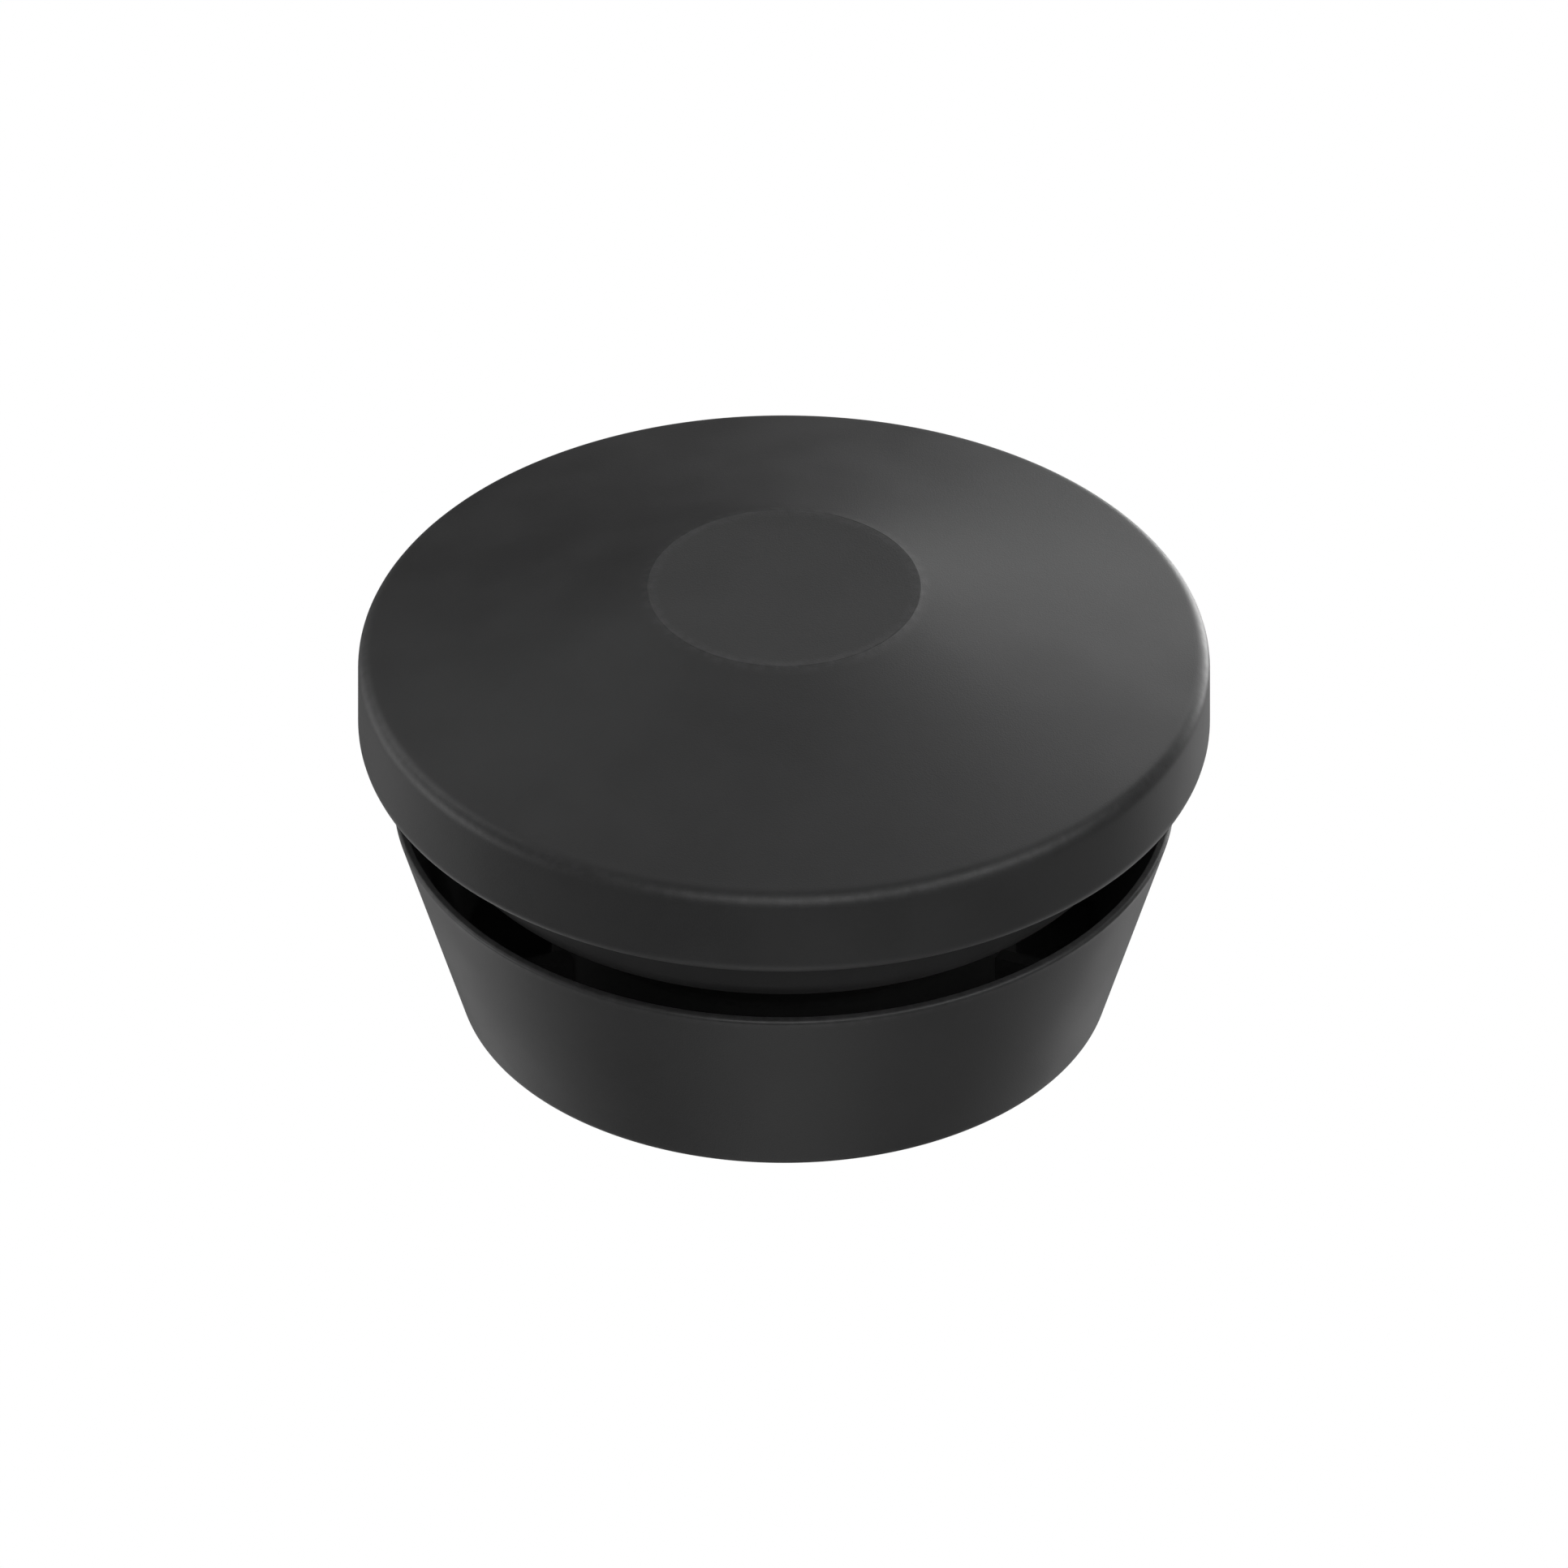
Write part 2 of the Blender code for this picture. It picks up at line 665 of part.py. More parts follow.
def main():
    clear_scene()
    parts = new_collection("desk_grommet")
    cutters = new_collection("cutters")

    black_plastic = new_material("black_plastic", (0.04, 0.04, 0.041), 0.5)
    disc_plastic = new_material("disc_plastic", (0.045, 0.045, 0.046), 0.5)
    foam = new_material("foam", (0.06, 0.06, 0.062), 0.95)
    zinc_steel = new_material("zinc_steel", (0.55, 0.56, 0.58), 0.35, 1.0)
    spring_steel = new_material("spring_steel", (0.42, 0.42, 0.44), 0.3, 1.0)
    brass = new_material("brass", (0.72, 0.53, 0.25), 0.35, 1.0)

    screws = make_collar_screws(parts, cutters, zinc_steel)
    fixed = [
        make_cap_shell(parts, cutters, black_plastic),
        make_centre_disc(parts, disc_plastic),
        make_locating_collar(parts, cutters, black_plastic),
        make_seal_ring(parts, foam),
        *screws,
        make_centre_bolt(parts, cutters, zinc_steel),
        make_spring_washer(parts, zinc_steel),
        make_lock_nut(parts, cutters, zinc_steel),
        make_release_spring(parts, spring_steel),
        make_end_clip(parts, cutters, spring_steel),
    ]
    sliding = [
        make_clamp_cup(parts, cutters, black_plastic),
        make_nut_washer(parts, zinc_steel),
    ]
    turning = [
        make_thumb_nut(parts, cutters, black_plastic),
        make_nut_insert(parts, brass),
    ]
    cap_body = body("cap_body", CAP_UNDERSIDE, fixed, parts)
    cup_body = body("cup_body", ROOF_LOW, sliding, parts, cap_body)
    body("nut_body", NUT_LOW, turning, parts, cup_body)


main()
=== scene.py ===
"""Looks for the closed desk grommet: fine moulded shells, real threads and hardware, and their finishes.

Lengths are millimetres until a mesh is made, when MM turns them to metres. The sizes that the CAD frame's
boxes give are read from it, and the rest follow the CAD source's driving dimensions, with finer edges and
closer gaps. The threads, the hexagons' chamfers and the moulding marks are only here. +Z is up along the bolt.
"""

import math

import bmesh
import bpy
from mathutils import Matrix, Vector


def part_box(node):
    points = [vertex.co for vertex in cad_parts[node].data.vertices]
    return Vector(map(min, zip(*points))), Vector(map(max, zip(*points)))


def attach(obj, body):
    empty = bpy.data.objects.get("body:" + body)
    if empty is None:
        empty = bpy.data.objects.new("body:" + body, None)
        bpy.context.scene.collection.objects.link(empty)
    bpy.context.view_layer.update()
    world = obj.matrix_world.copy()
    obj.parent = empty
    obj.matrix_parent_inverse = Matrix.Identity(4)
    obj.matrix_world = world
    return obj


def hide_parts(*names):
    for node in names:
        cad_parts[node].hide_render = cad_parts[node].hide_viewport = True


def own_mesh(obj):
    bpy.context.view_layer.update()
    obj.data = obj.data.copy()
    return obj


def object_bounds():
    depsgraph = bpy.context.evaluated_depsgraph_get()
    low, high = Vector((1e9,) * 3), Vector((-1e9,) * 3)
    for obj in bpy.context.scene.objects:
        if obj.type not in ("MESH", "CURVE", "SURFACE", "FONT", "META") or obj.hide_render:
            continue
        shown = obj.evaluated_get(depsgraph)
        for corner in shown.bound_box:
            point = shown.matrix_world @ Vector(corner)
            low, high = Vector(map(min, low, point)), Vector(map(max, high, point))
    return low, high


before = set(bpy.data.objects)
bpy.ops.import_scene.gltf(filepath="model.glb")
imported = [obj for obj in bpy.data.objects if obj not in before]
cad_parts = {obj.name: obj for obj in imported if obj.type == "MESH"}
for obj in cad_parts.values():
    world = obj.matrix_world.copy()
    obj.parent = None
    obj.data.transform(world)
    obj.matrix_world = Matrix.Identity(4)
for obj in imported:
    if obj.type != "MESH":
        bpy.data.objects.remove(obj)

CAD_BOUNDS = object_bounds()
MM = 0.001


def low(node):
    """A CAD node's lowest corner."""
    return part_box(node)[0] / MM


def high(node):
    """A CAD node's highest corner."""
    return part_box(node)[1] / MM


# Camera and lights, in metres and degrees.
VIEW_WIDTH = 0.1325
VIEW_ELEVATION = 35
CAMERA_DISTANCE = 0.5
SOFTBOX_WIDTH = 0.36
SOFTBOX_DISTANCE = 0.6
FLOOR_BOUNCE = 0.157
HORIZON_BLEND = 0.1

# Stage floor, which lies just under the object.
FLOOR_HALF_WIDTH = 1500
FLOOR_DROP = 0.05

# Fineness of the turned shapes, and the sharpest turn that is shaded smooth.
RING_STEPS = 256
SMALL_STEPS = 96
WASHER_STEPS = 192
ROD_STEPS = 48
FILLET_TURN = math.radians(10)
SHARP_ANGLE = math.radians(12)
THREAD_SHARP_ANGLE = math.radians(40)

# Cap.
CAP_RADIUS = high("cap_shell").x
CAP_UNDERSIDE = low("cap_shell").z
RIM_TOP = CAP_UNDERSIDE + 8.0
RIM_TOP_FILLET = 1.5
RIM_LOW_FILLET = 1.4
CAP_WALL = 2.3
RIM_INNER_RADIUS = 32.4
PILLAR_RADIUS = 13.4
CAP_RIB_COUNT = 6
CAP_RIB_THICKNESS = 1.6
CAP_RIB_DEPTH = 4.4
HEAD_POCKET_ROOM = 0.1
PILOT_GAP = 0.1
PILOT_ROOM = 0.3

# Disc that closes the cap's middle.
CAP_TOP = high("centre_disc").z
DISC_RADIUS = high("centre_disc").x
DISC_LOW = low("centre_disc").z
DISC_THICKNESS = 1.56
DISC_EDGE = 0.02
DISC_GAP = 0.01
SKIRT_OUTER_RADIUS = 10.2
SKIRT_INNER_RADIUS = 8.8

# Collar.
FLANGE_RADIUS = high("locating_collar").x
FLANGE_TOP = high("locating_collar").z
POST_BOTTOM = low("locating_collar").z
FLANGE_GAP = 0.12
COLLAR_RADIUS = 29.95
COLLAR_BOTTOM = 18.7
COLLAR_FILLET = 1.7
COLLAR_WALL = 2.25
HUB_RADIUS = 11.2
SPRING_POCKET_RADIUS = 8.6
SPRING_POCKET_TOP = 25.4
SEAL_GROOVE = (30.8, 33.0)
SEAL_DEPTH = 1.0
SEAL_GAP = 0.3
POST_RADIUS = 1.6
POST_OFFSET = 14.5
SLIDE_GAP = 0.35

# Cup.
FOOT_RADIUS = 27.3
CUP_TAPER = 0.3077
LIP_TOP = high("clamp_cup").z
LIP_FILLET = 0.3
LIP_INNER_FILLET = 0.15
LIP_WALL = 0.85
FOOT_FILLET = 0.85
CUP_WALL = 1.1
FOOT_INNER_RADIUS = 24.6
FOOT_RECESS = 0.8
CUP_FLOOR = 2.4
NUT_POCKET_RADIUS = 18.0
NUT_POCKET_WALL = 1.6
ROOF_LOW = 9.4
ROOF_TOP = 11.2
SPRING_RIM = (8.0, 9.4)
SPRING_RIM_HEIGHT = 1.5
CUP_RIB_COUNT = 8
CUP_RIB_THICKNESS = 1.4
CUP_RIB_TOP = 8.0
PIN_MARK_RADIUS = 1.5
PIN_MARK_DEPTH = 0.1

# Screws, bolt and nuts. The M6 bolt's thread rises a millimetre a turn, and the screws' coarse one as much.
# A thread's root takes the first share of its pitch, its flanks the second, and its crest the rest.
THREAD_PITCH = 1.0
THREAD_POINTS = 12
THREAD_ROOT_SHARE = 0.12
THREAD_FLANK_SHARE = 0.72
BOLT_RADIUS = 2.95
BOLT_ROOT_RADIUS = 2.45
BOLT_HOLE_RADIUS = 3.3
CUP_HOLE_RADIUS = BOLT_HOLE_RADIUS - 0.1
BOLT_CHAMFER = 0.6
BOLT_HEAD_HEIGHT = 4.0
NUT_THREAD_GAP = 0.1
ACROSS_FLATS = 10.0
HEX_RADIUS = ACROSS_FLATS / math.sqrt(3)
HEX_CHAMFER_INSET = 0.15
HEX_CHAMFER_REACH = 1.2
HEX_CHAMFER_DROP = 0.6
CLIP_GROOVE = (1.85, 2.8)
CLIP_GROOVE_RADIUS = 2.1
CLIP_INNER_RADIUS = 2.4
CLIP_MOUTH = 3.6
SCREW_OFFSET = 22.0
SCREW_ANGLES = (30, 150, 270)
SCREW_RADIUS = 1.4
SCREW_ROOT_RADIUS = 1.05
SCREW_POINT = 0.7
SCREW_STEPS = 32
SCREW_HEAD_RADIUS = 2.7
SCREW_HEAD_HEIGHT = 2.0
SCREW_SOCKET_RADIUS = 1.25
SCREW_SOCKET_DEPTH = 1.2
SCREW_HOLE_GAP = 0.2
SCREW_HEAD_GAP = 0.1
COUNTERBORE_RADIUS = 3.0
BOSS_RADIUS = 3.4
BOSS_TOP = 36.3
TUBE_RADIUS = 4.0

# Release spring.
WIRE_RADIUS = 0.45
COIL_RADIUS = 7.2
SPRING_TURNS = 5.5
SPRING_END_TURNS = 0.75
WIRE_STEPS_PER_TURN = 48
WIRE_SIDES = 14

# Thumb nut, and the threaded insert in it.
NUT_GRIPS = 18
NUT_GRIP_DEPTH = 0.4
NUT_GRIP_STEPS = 16
NUT_GRIP_START = 9.0
NUT_RADIUS = 11.2
NUT_DISH = (6.0, 9.2)
NUT_DISH_DEPTH = 0.6
SLOT_WIDTH = 2.0
SLOT_DEPTH = 1.5
INSERT_BITE = 0.2
COUNTERSINK_ROOM = 0.35
COUNTERSINK_DEPTH = 0.5

# How far a joined shape starts inside its target, and how far a cutter goes past it.
BITE = 0.7
PAST = 1.0

# Finishes: the plastic's colour, how far its paler edges reach (worn, and partly a painted highlight), and how
# softly its dull inside, darkened as painted shade, begins.
BLACK = (0.034, 0.034, 0.0345)
WEAR_AND_HIGHLIGHT_WIDTH = 1.2
SOFT_EDGE = 0.2

CONE_SLOPE = (CAP_TOP - RIM_TOP) / (CAP_RADIUS - DISC_RADIUS)


def cap_height(radius):
    """Height of the cap's conical top at a radius."""
    return CAP_TOP - CONE_SLOPE * (radius - DISC_RADIUS)


def cup_radius(height):
    """Outer radius of the tapered cup at a height."""
    return FOOT_RADIUS + CUP_TAPER * height


def around(radius, angles):
    """Points (x, y) on a circle, for angles in degrees."""
    return [(radius * math.cos(math.radians(a)), radius * math.sin(math.radians(a))) for a in angles]


# ---------------------------------------------------------------- camera, stage and light


def aim(obj, azimuth, elevation, distance):
    """Faces a camera or light to the object's middle. Azimuth 0 is in front, and 90 at the right."""
    a = math.radians(azimuth)
    e = math.radians(elevation)
    toward = Vector((math.sin(a) * math.cos(e), -math.cos(a) * math.cos(e), math.sin(e)))
    obj.location = (CAD_BOUNDS[0] + CAD_BOUNDS[1]) / 2 + toward * distance
    obj.rotation_mode = "QUATERNION"
    obj.rotation_quaternion = toward.to_track_quat("Z", "Y")
    bpy.context.scene.collection.objects.link(obj)


def add_camera():
    """A camera without perspective, in front of the object and above it."""
    data = bpy.data.cameras.new("camera")
    data.type = "ORTHO"
    data.ortho_scale = VIEW_WIDTH
    camera = bpy.data.objects.new("camera", data)
    aim(camera, 0, VIEW_ELEVATION, CAMERA_DISTANCE)
    bpy.context.scene.camera = camera


def add_softbox(name, azimuth, elevation, power, shadow=True):
    """A round soft light, whose power is in watts. A fill without shadow reaches into the gaps."""
    data = bpy.data.lights.new(name, "AREA")
    data.shape = "DISK"
    data.size = SOFTBOX_WIDTH
    data.energy = power
    data.use_shadow = shadow
    light = bpy.data.objects.new(name, data)
    light.visible_camera = False
    aim(light, azimuth, elevation, SOFTBOX_DISTANCE)


def add_world():
    """White where the camera sees past the object. It lights only from below, as a pale floor would."""
    world = bpy.data.worlds.new("studio")
    bpy.context.scene.world = world
    world.use_nodes = True
    nodes = world.node_tree.nodes
    link = world.node_tree.links.new
    nodes.clear()
    out = nodes.new("ShaderNodeOutputWorld")
    seen = nodes.new("ShaderNodeBackground")
    seen.inputs["Color"].default_value = (1, 1, 1, 1)
    bounce = nodes.new("ShaderNodeBackground")
    bounce.inputs["Color"].default_value = (1, 1, 1, 1)
    place = nodes.new("ShaderNodeTexCoord")
    axes = nodes.new("ShaderNodeSeparateXYZ")
    level = nodes.new("ShaderNodeMapRange")
    level.interpolation_type = "SMOOTHSTEP"
    level.inputs["From Min"].default_value = -HORIZON_BLEND
    level.inputs["From Max"].default_value = HORIZON_BLEND
    level.inputs["To Min"].default_value = FLOOR_BOUNCE
    level.inputs["To Max"].default_value = 0.0
    path = nodes.new("ShaderNodeLightPath")
    choice = nodes.new("ShaderNodeMixShader")
    link(place.outputs["Generated"], axes.inputs[0])
    link(axes.outputs["Z"], level.inputs["Value"])
    link(level.outputs[0], bounce.inputs["Strength"])
    link(path.outputs["Is Camera Ray"], choice.inputs[0])
    link(bounce.outputs[0], choice.inputs[1])
    link(seen.outputs[0], choice.inputs[2])
    link(choice.outputs[0], out.inputs["Surface"])


def add_floor():
    """A plain white floor, seen only from above, which throws no shadow and no light of its own."""
    shape = bmesh.new()
    bmesh.ops.create_grid(shape, x_segments=1, y_segments=1, size=FLOOR_HALF_WIDTH)
    height = CAD_BOUNDS[0].z / MM - FLOOR_DROP
    bmesh.ops.translate(shape, vec=(0, 0, height), verts=shape.verts)
    bmesh.ops.scale(shape, vec=(MM, MM, MM), verts=shape.verts)
    mesh = bpy.data.meshes.new("floor")
    shape.to_mesh(mesh)
    shape.free()
    floor = bpy.data.objects.new("floor", mesh)
    bpy.context.scene.collection.objects.link(floor)
    material = bpy.data.materials.new("white_floor")
    material.use_nodes = True
    nodes = material.node_tree.nodes
    link = material.node_tree.links.new
    nodes.clear()
    out = nodes.new("ShaderNodeOutputMaterial")
    white = nodes.new("ShaderNodeEmission")
    clear = nodes.new("ShaderNodeBsdfTransparent")
    side = nodes.new("ShaderNodeNewGeometry")
    choice = nodes.new("ShaderNodeMixShader")
    link(side.outputs["Backfacing"], choice.inputs[0])
    link(white.outputs[0], choice.inputs[1])
    link(clear.outputs[0], choice.inputs[2])
    link(choice.outputs[0], out.inputs["Surface"])
    mesh.materials.append(material)
    floor.visible_diffuse = False
    floor.visible_glossy = False
    floor.visible_transmission = False
    floor.visible_shadow = False


# ---------------------------------------------------------------- mesh tools


def corner_facts(corners):
    """What each corner (radius, height, fillet) needs for its arc.

    That is its point, the ways to its neighbours, half its angle, and how far the arc reaches from it.
    """
    facts = []
    for i, (radius, height, fillet) in enumerate(corners):
        here = Vector((radius, height))
        before = Vector(corners[i - 1][:2]) - here
        after = Vector(corners[(i + 1) % len(corners)][:2]) - here
        half_angle = before.angle(after) / 2
        facts.append((here, before, after, half_angle, fillet / math.tan(half_angle)))
    return facts


def rounded(corners):
    """A closed outline's points: an arc at each fillet, with a point past its ends to keep the flats flat."""
    points = []
    facts = corner_facts(corners)
    for i, (here, before, after, half_angle, reach) in enumerate(facts):
        fillet = corners[i][2]
        if fillet == 0:
            points.append(here)
            continue
        spare_before = before.length - reach - facts[i - 1][4]
        spare_after = after.length - reach - facts[(i + 1) % len(facts)][4]
        before = before.normalized()
        after = after.normalized()
        if spare_before > fillet:
            points.append(here + before * (reach + fillet / 5))
        centre = here + (before + after).normalized() * fillet / math.sin(half_angle)
        start = here + before * reach - centre
        sweep = math.copysign(math.pi - 2 * half_angle, before.cross(after))
        steps = math.ceil(abs(sweep) / FILLET_TURN)
        for step in range(steps + 1):
            points.append(centre + Matrix.Rotation(-sweep * step / steps, 2) @ start)
        if spare_after > fillet:
            points.append(here + after * (reach + fillet / 5))
    return points


def add_object(name, shape):
    """An object from a bmesh in millimetres, with its faces turned outward."""
    bmesh.ops.scale(shape, vec=(MM, MM, MM), verts=shape.verts)
    bmesh.ops.recalc_face_normals(shape, faces=shape.faces)
    mesh = bpy.data.meshes.new(name)
    shape.to_mesh(mesh)
    shape.free()
    obj = bpy.data.objects.new(name, mesh)
    bpy.context.scene.collection.objects.link(obj)
    return obj


def skin(name, rings, closed):
    """A surface through rings of points. The last joins the first if closed, or else both are filled."""
    shape = bmesh.new()
    loops = [[shape.verts.new(point) for point in ring] for ring in rings]
    pairs = list(zip(loops, loops[1:]))
    if closed:
        pairs.append((loops[-1], loops[0]))
    else:
        shape.faces.new(loops[0])
        shape.faces.new(loops[-1])
    for upper, lower in pairs:
        for i in range(len(upper)):
            shape.faces.new((upper[i - 1], lower[i - 1], lower[i], upper[i]))
    return add_object(name, shape)


def circle(radius_at, height, steps):
    """A ring of points about the axis, whose radius may change with the angle."""
    angles = [2 * math.pi * i / steps for i in range(steps)]
    return [(radius_at(a) * math.cos(a), radius_at(a) * math.sin(a), height) for a in angles]


def turned(name, corners, steps=RING_STEPS):
    """A ring whose section is the rounded outline through corners (radius, height, fillet)."""
    return skin(name, [circle(lambda _: p[0], p[1], steps) for p in rounded(corners)], closed=True)


def turned_solid(name, corners, steps=RING_STEPS):
    """A solid of revolution. Its first and last corners are on the axis."""
    points = [p for p in rounded(corners) if p[0] > 0]
    return skin(name, [circle(lambda _: p[0], p[1], steps) for p in points], closed=False)


def threaded_rod(name, bottom, top, root, crest, chamfer, steps=ROD_STEPS):
    """An upright rod with a right-hand thread, which a chamfer runs out at both ends."""
    count = round((top - bottom) / THREAD_PITCH * THREAD_POINTS)
    rings = []
    for i in range(count + 1):
        height = bottom + (top - bottom) * i / count
        limit = crest - max(0, chamfer - min(height - bottom, top - height))

        def radius_at(angle):
            phase = (height / THREAD_PITCH - angle / (2 * math.pi)) % 1
            ridge = 1 - abs(2 * phase - 1)
            share = min(max((ridge - THREAD_ROOT_SHARE) / THREAD_FLANK_SHARE, 0), 1)
            return min(limit, root + (crest - root) * share)

        rings.append(circle(radius_at, height, steps))
    return skin(name, rings, closed=False)


def prism(name, radius, bottom, top, sides, place=(0.0, 0.0)):
    """An upright prism, for a boss or a cutter."""
    shape = bmesh.new()
    bmesh.ops.create_cone(
        shape,
        cap_ends=True,
        segments=sides,
        radius1=radius,
        radius2=radius,
        depth=top - bottom,
        matrix=Matrix.Translation((*place, (bottom + top) / 2)),
    )
    return add_object(name, shape)


def box(name, corner, opposite):
    """A box between two corners, for a cutter."""
    corner = Vector(corner)
    opposite = Vector(opposite)
    shape = bmesh.new()
    bmesh.ops.create_cube(shape, size=1.0)
    bmesh.ops.scale(shape, vec=opposite - corner, verts=shape.verts)
    bmesh.ops.translate(shape, vec=(corner + opposite) / 2, verts=shape.verts)
    return add_object(name, shape)


def hexagon(name, bottom, top):
    """A hexagon bar's slice, chamfered at both ends as a lathe does it."""
    bar = prism(name, HEX_RADIUS, bottom, top, 6)
    inner = ACROSS_FLATS / 2 - HEX_CHAMFER_INSET
    outer = inner + HEX_CHAMFER_REACH
    drop = HEX_CHAMFER_DROP
    corners = [
        (0, top, 0),
        (inner, top, 0),
        (outer, top - drop, 0),
        (outer, bottom + drop, 0),
        (inner, bottom, 0),
        (0, bottom, 0),
    ]
    combine(bar, "INTERSECT", [turned_solid("chamfer", corners, SMALL_STEPS)])
    return bar


def radial_ribs(section, thickness, angles):
    """Upright ribs: an outline of (radius, height) points, thickened and turned about the axis."""
    ribs = []
    for angle in angles:
        shape = bmesh.new()
        near = [shape.verts.new((r, -thickness / 2, z)) for r, z in section]
        made = bmesh.ops.extrude_face_region(shape, geom=[shape.faces.new(near)])["geom"]
        far = [item for item in made if isinstance(item, bmesh.types.BMVert)]
        bmesh.ops.translate(shape, vec=(0, thickness, 0), verts=far)
        turn = Matrix.Rotation(math.radians(angle), 3, "Z")
        bmesh.ops.rotate(shape, cent=(0, 0, 0), matrix=turn, verts=shape.verts)
        ribs.append(add_object("rib", shape))
    return ribs


def combine(target, operation, others):
    """Joins each of the others to the target, or cuts by it, and removes it."""
    for other in others:
        boolean = target.modifiers.new(other.name, "BOOLEAN")
        boolean.operation = operation
        boolean.solver = "EXACT"
        boolean.object = other
    graph = bpy.context.evaluated_depsgraph_get()
    mesh = bpy.data.meshes.new_from_object(target.evaluated_get(graph))
    target.modifiers.clear()
    target.data = mesh
    for other in others:
        bpy.data.objects.remove(other, do_unlink=True)


def place_piece(obj, body, node, finish, sharp=SHARP_ANGLE):
    """Shades a finished piece, gives it its finish, and puts it on its body in place of its CAD node."""
    obj.data.shade_smooth()
    obj.data.set_sharp_from_angle(angle=sharp)
    obj.data.materials.clear()
    obj.data.materials.append(finish)
    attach(obj, body)
    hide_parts(node)
    return obj


# ---------------------------------------------------------------- moulded pieces


def make_cap():
    """The conical cover, with the pillar, ribs and bosses inside it."""
    well = DISC_RADIUS + DISC_GAP
    seat = CAP_TOP - DISC_THICKNESS - DISC_GAP
    skirt_floor = DISC_LOW - DISC_GAP
    skirt_wall = SKIRT_OUTER_RADIUS + DISC_GAP
    flange_wall = FLANGE_RADIUS + FLANGE_GAP
    shoulder = FLANGE_TOP + FLANGE_GAP
    cap = turned(
        "moulded_cap",
        [
            (well, cap_height(well), DISC_EDGE),
            (CAP_RADIUS, RIM_TOP, RIM_TOP_FILLET),
            (CAP_RADIUS, CAP_UNDERSIDE, RIM_LOW_FILLET),
            (flange_wall, CAP_UNDERSIDE, 0.1),
            (flange_wall, shoulder, 0.1),
            (RIM_INNER_RADIUS, shoulder, 0.2),
            (RIM_INNER_RADIUS, cap_height(RIM_INNER_RADIUS) - CAP_WALL, 0.8),
            (PILLAR_RADIUS, cap_height(PILLAR_RADIUS) - CAP_WALL, 0.8),
            (PILLAR_RADIUS, shoulder, 0.3),
            (BOLT_HOLE_RADIUS, shoulder, 0.2),
            (BOLT_HOLE_RADIUS, skirt_floor, 0.1),
            (skirt_wall, skirt_floor, 0.2),
            (skirt_wall, seat, 0.1),
            (well, seat, 0.1),
        ],
    )
    inner_end = PILLAR_RADIUS - BITE
    outer_end = RIM_INNER_RADIUS + BITE
    inner_top = cap_height(inner_end) - CAP_WALL / 2
    outer_top = cap_height(outer_end) - CAP_WALL / 2
    section = [
        (inner_end, inner_top),
        (inner_end, inner_top - CAP_RIB_DEPTH),
        (outer_end, outer_top - CAP_RIB_DEPTH),
        (outer_end, outer_top),
    ]
    rib_angles = [i * 360 / CAP_RIB_COUNT for i in range(CAP_RIB_COUNT)]
    ribs = radial_ribs(section, CAP_RIB_THICKNESS, rib_angles)
    places = around(SCREW_OFFSET, SCREW_ANGLES)
    bosses = [prism("boss", BOSS_RADIUS, shoulder, BOSS_TOP, SMALL_STEPS, place) for place in places]
    combine(cap, "UNION", ribs + bosses)
    pilot_low = shoulder - PAST
    pilot_top = high("collar_screw_1").z + PILOT_ROOM
    pilot_radius = SCREW_RADIUS + PILOT_GAP
    pilots = [prism("pilot", pilot_radius, pilot_low, pilot_top, SMALL_STEPS, place) for place in places]
    head_low = high("centre_bolt").z - BOLT_HEAD_HEIGHT - HEAD_POCKET_ROOM
    pocket = prism("head_pocket", HEX_RADIUS + HEAD_POCKET_ROOM, head_low, CAP_TOP, 6)
    combine(cap, "DIFFERENCE", pilots + [pocket])
    return cap


def make_disc():
    """The blank disc, whose skirt presses into the cap."""
    low_face = CAP_TOP - DISC_THICKNESS
    return turned_solid(
        "blank_disc",
        [
            (0, CAP_TOP, 0),
            (DISC_RADIUS, CAP_TOP, DISC_EDGE),
            (DISC_RADIUS, low_face, 0.1),
            (SKIRT_OUTER_RADIUS, low_face, 0.1),
            (SKIRT_OUTER_RADIUS, DISC_LOW, 0.35),
            (SKIRT_INNER_RADIUS, DISC_LOW, 0.2),
            (SKIRT_INNER_RADIUS, low_face, 0.3),
            (0, low_face, 0),
        ],
    )


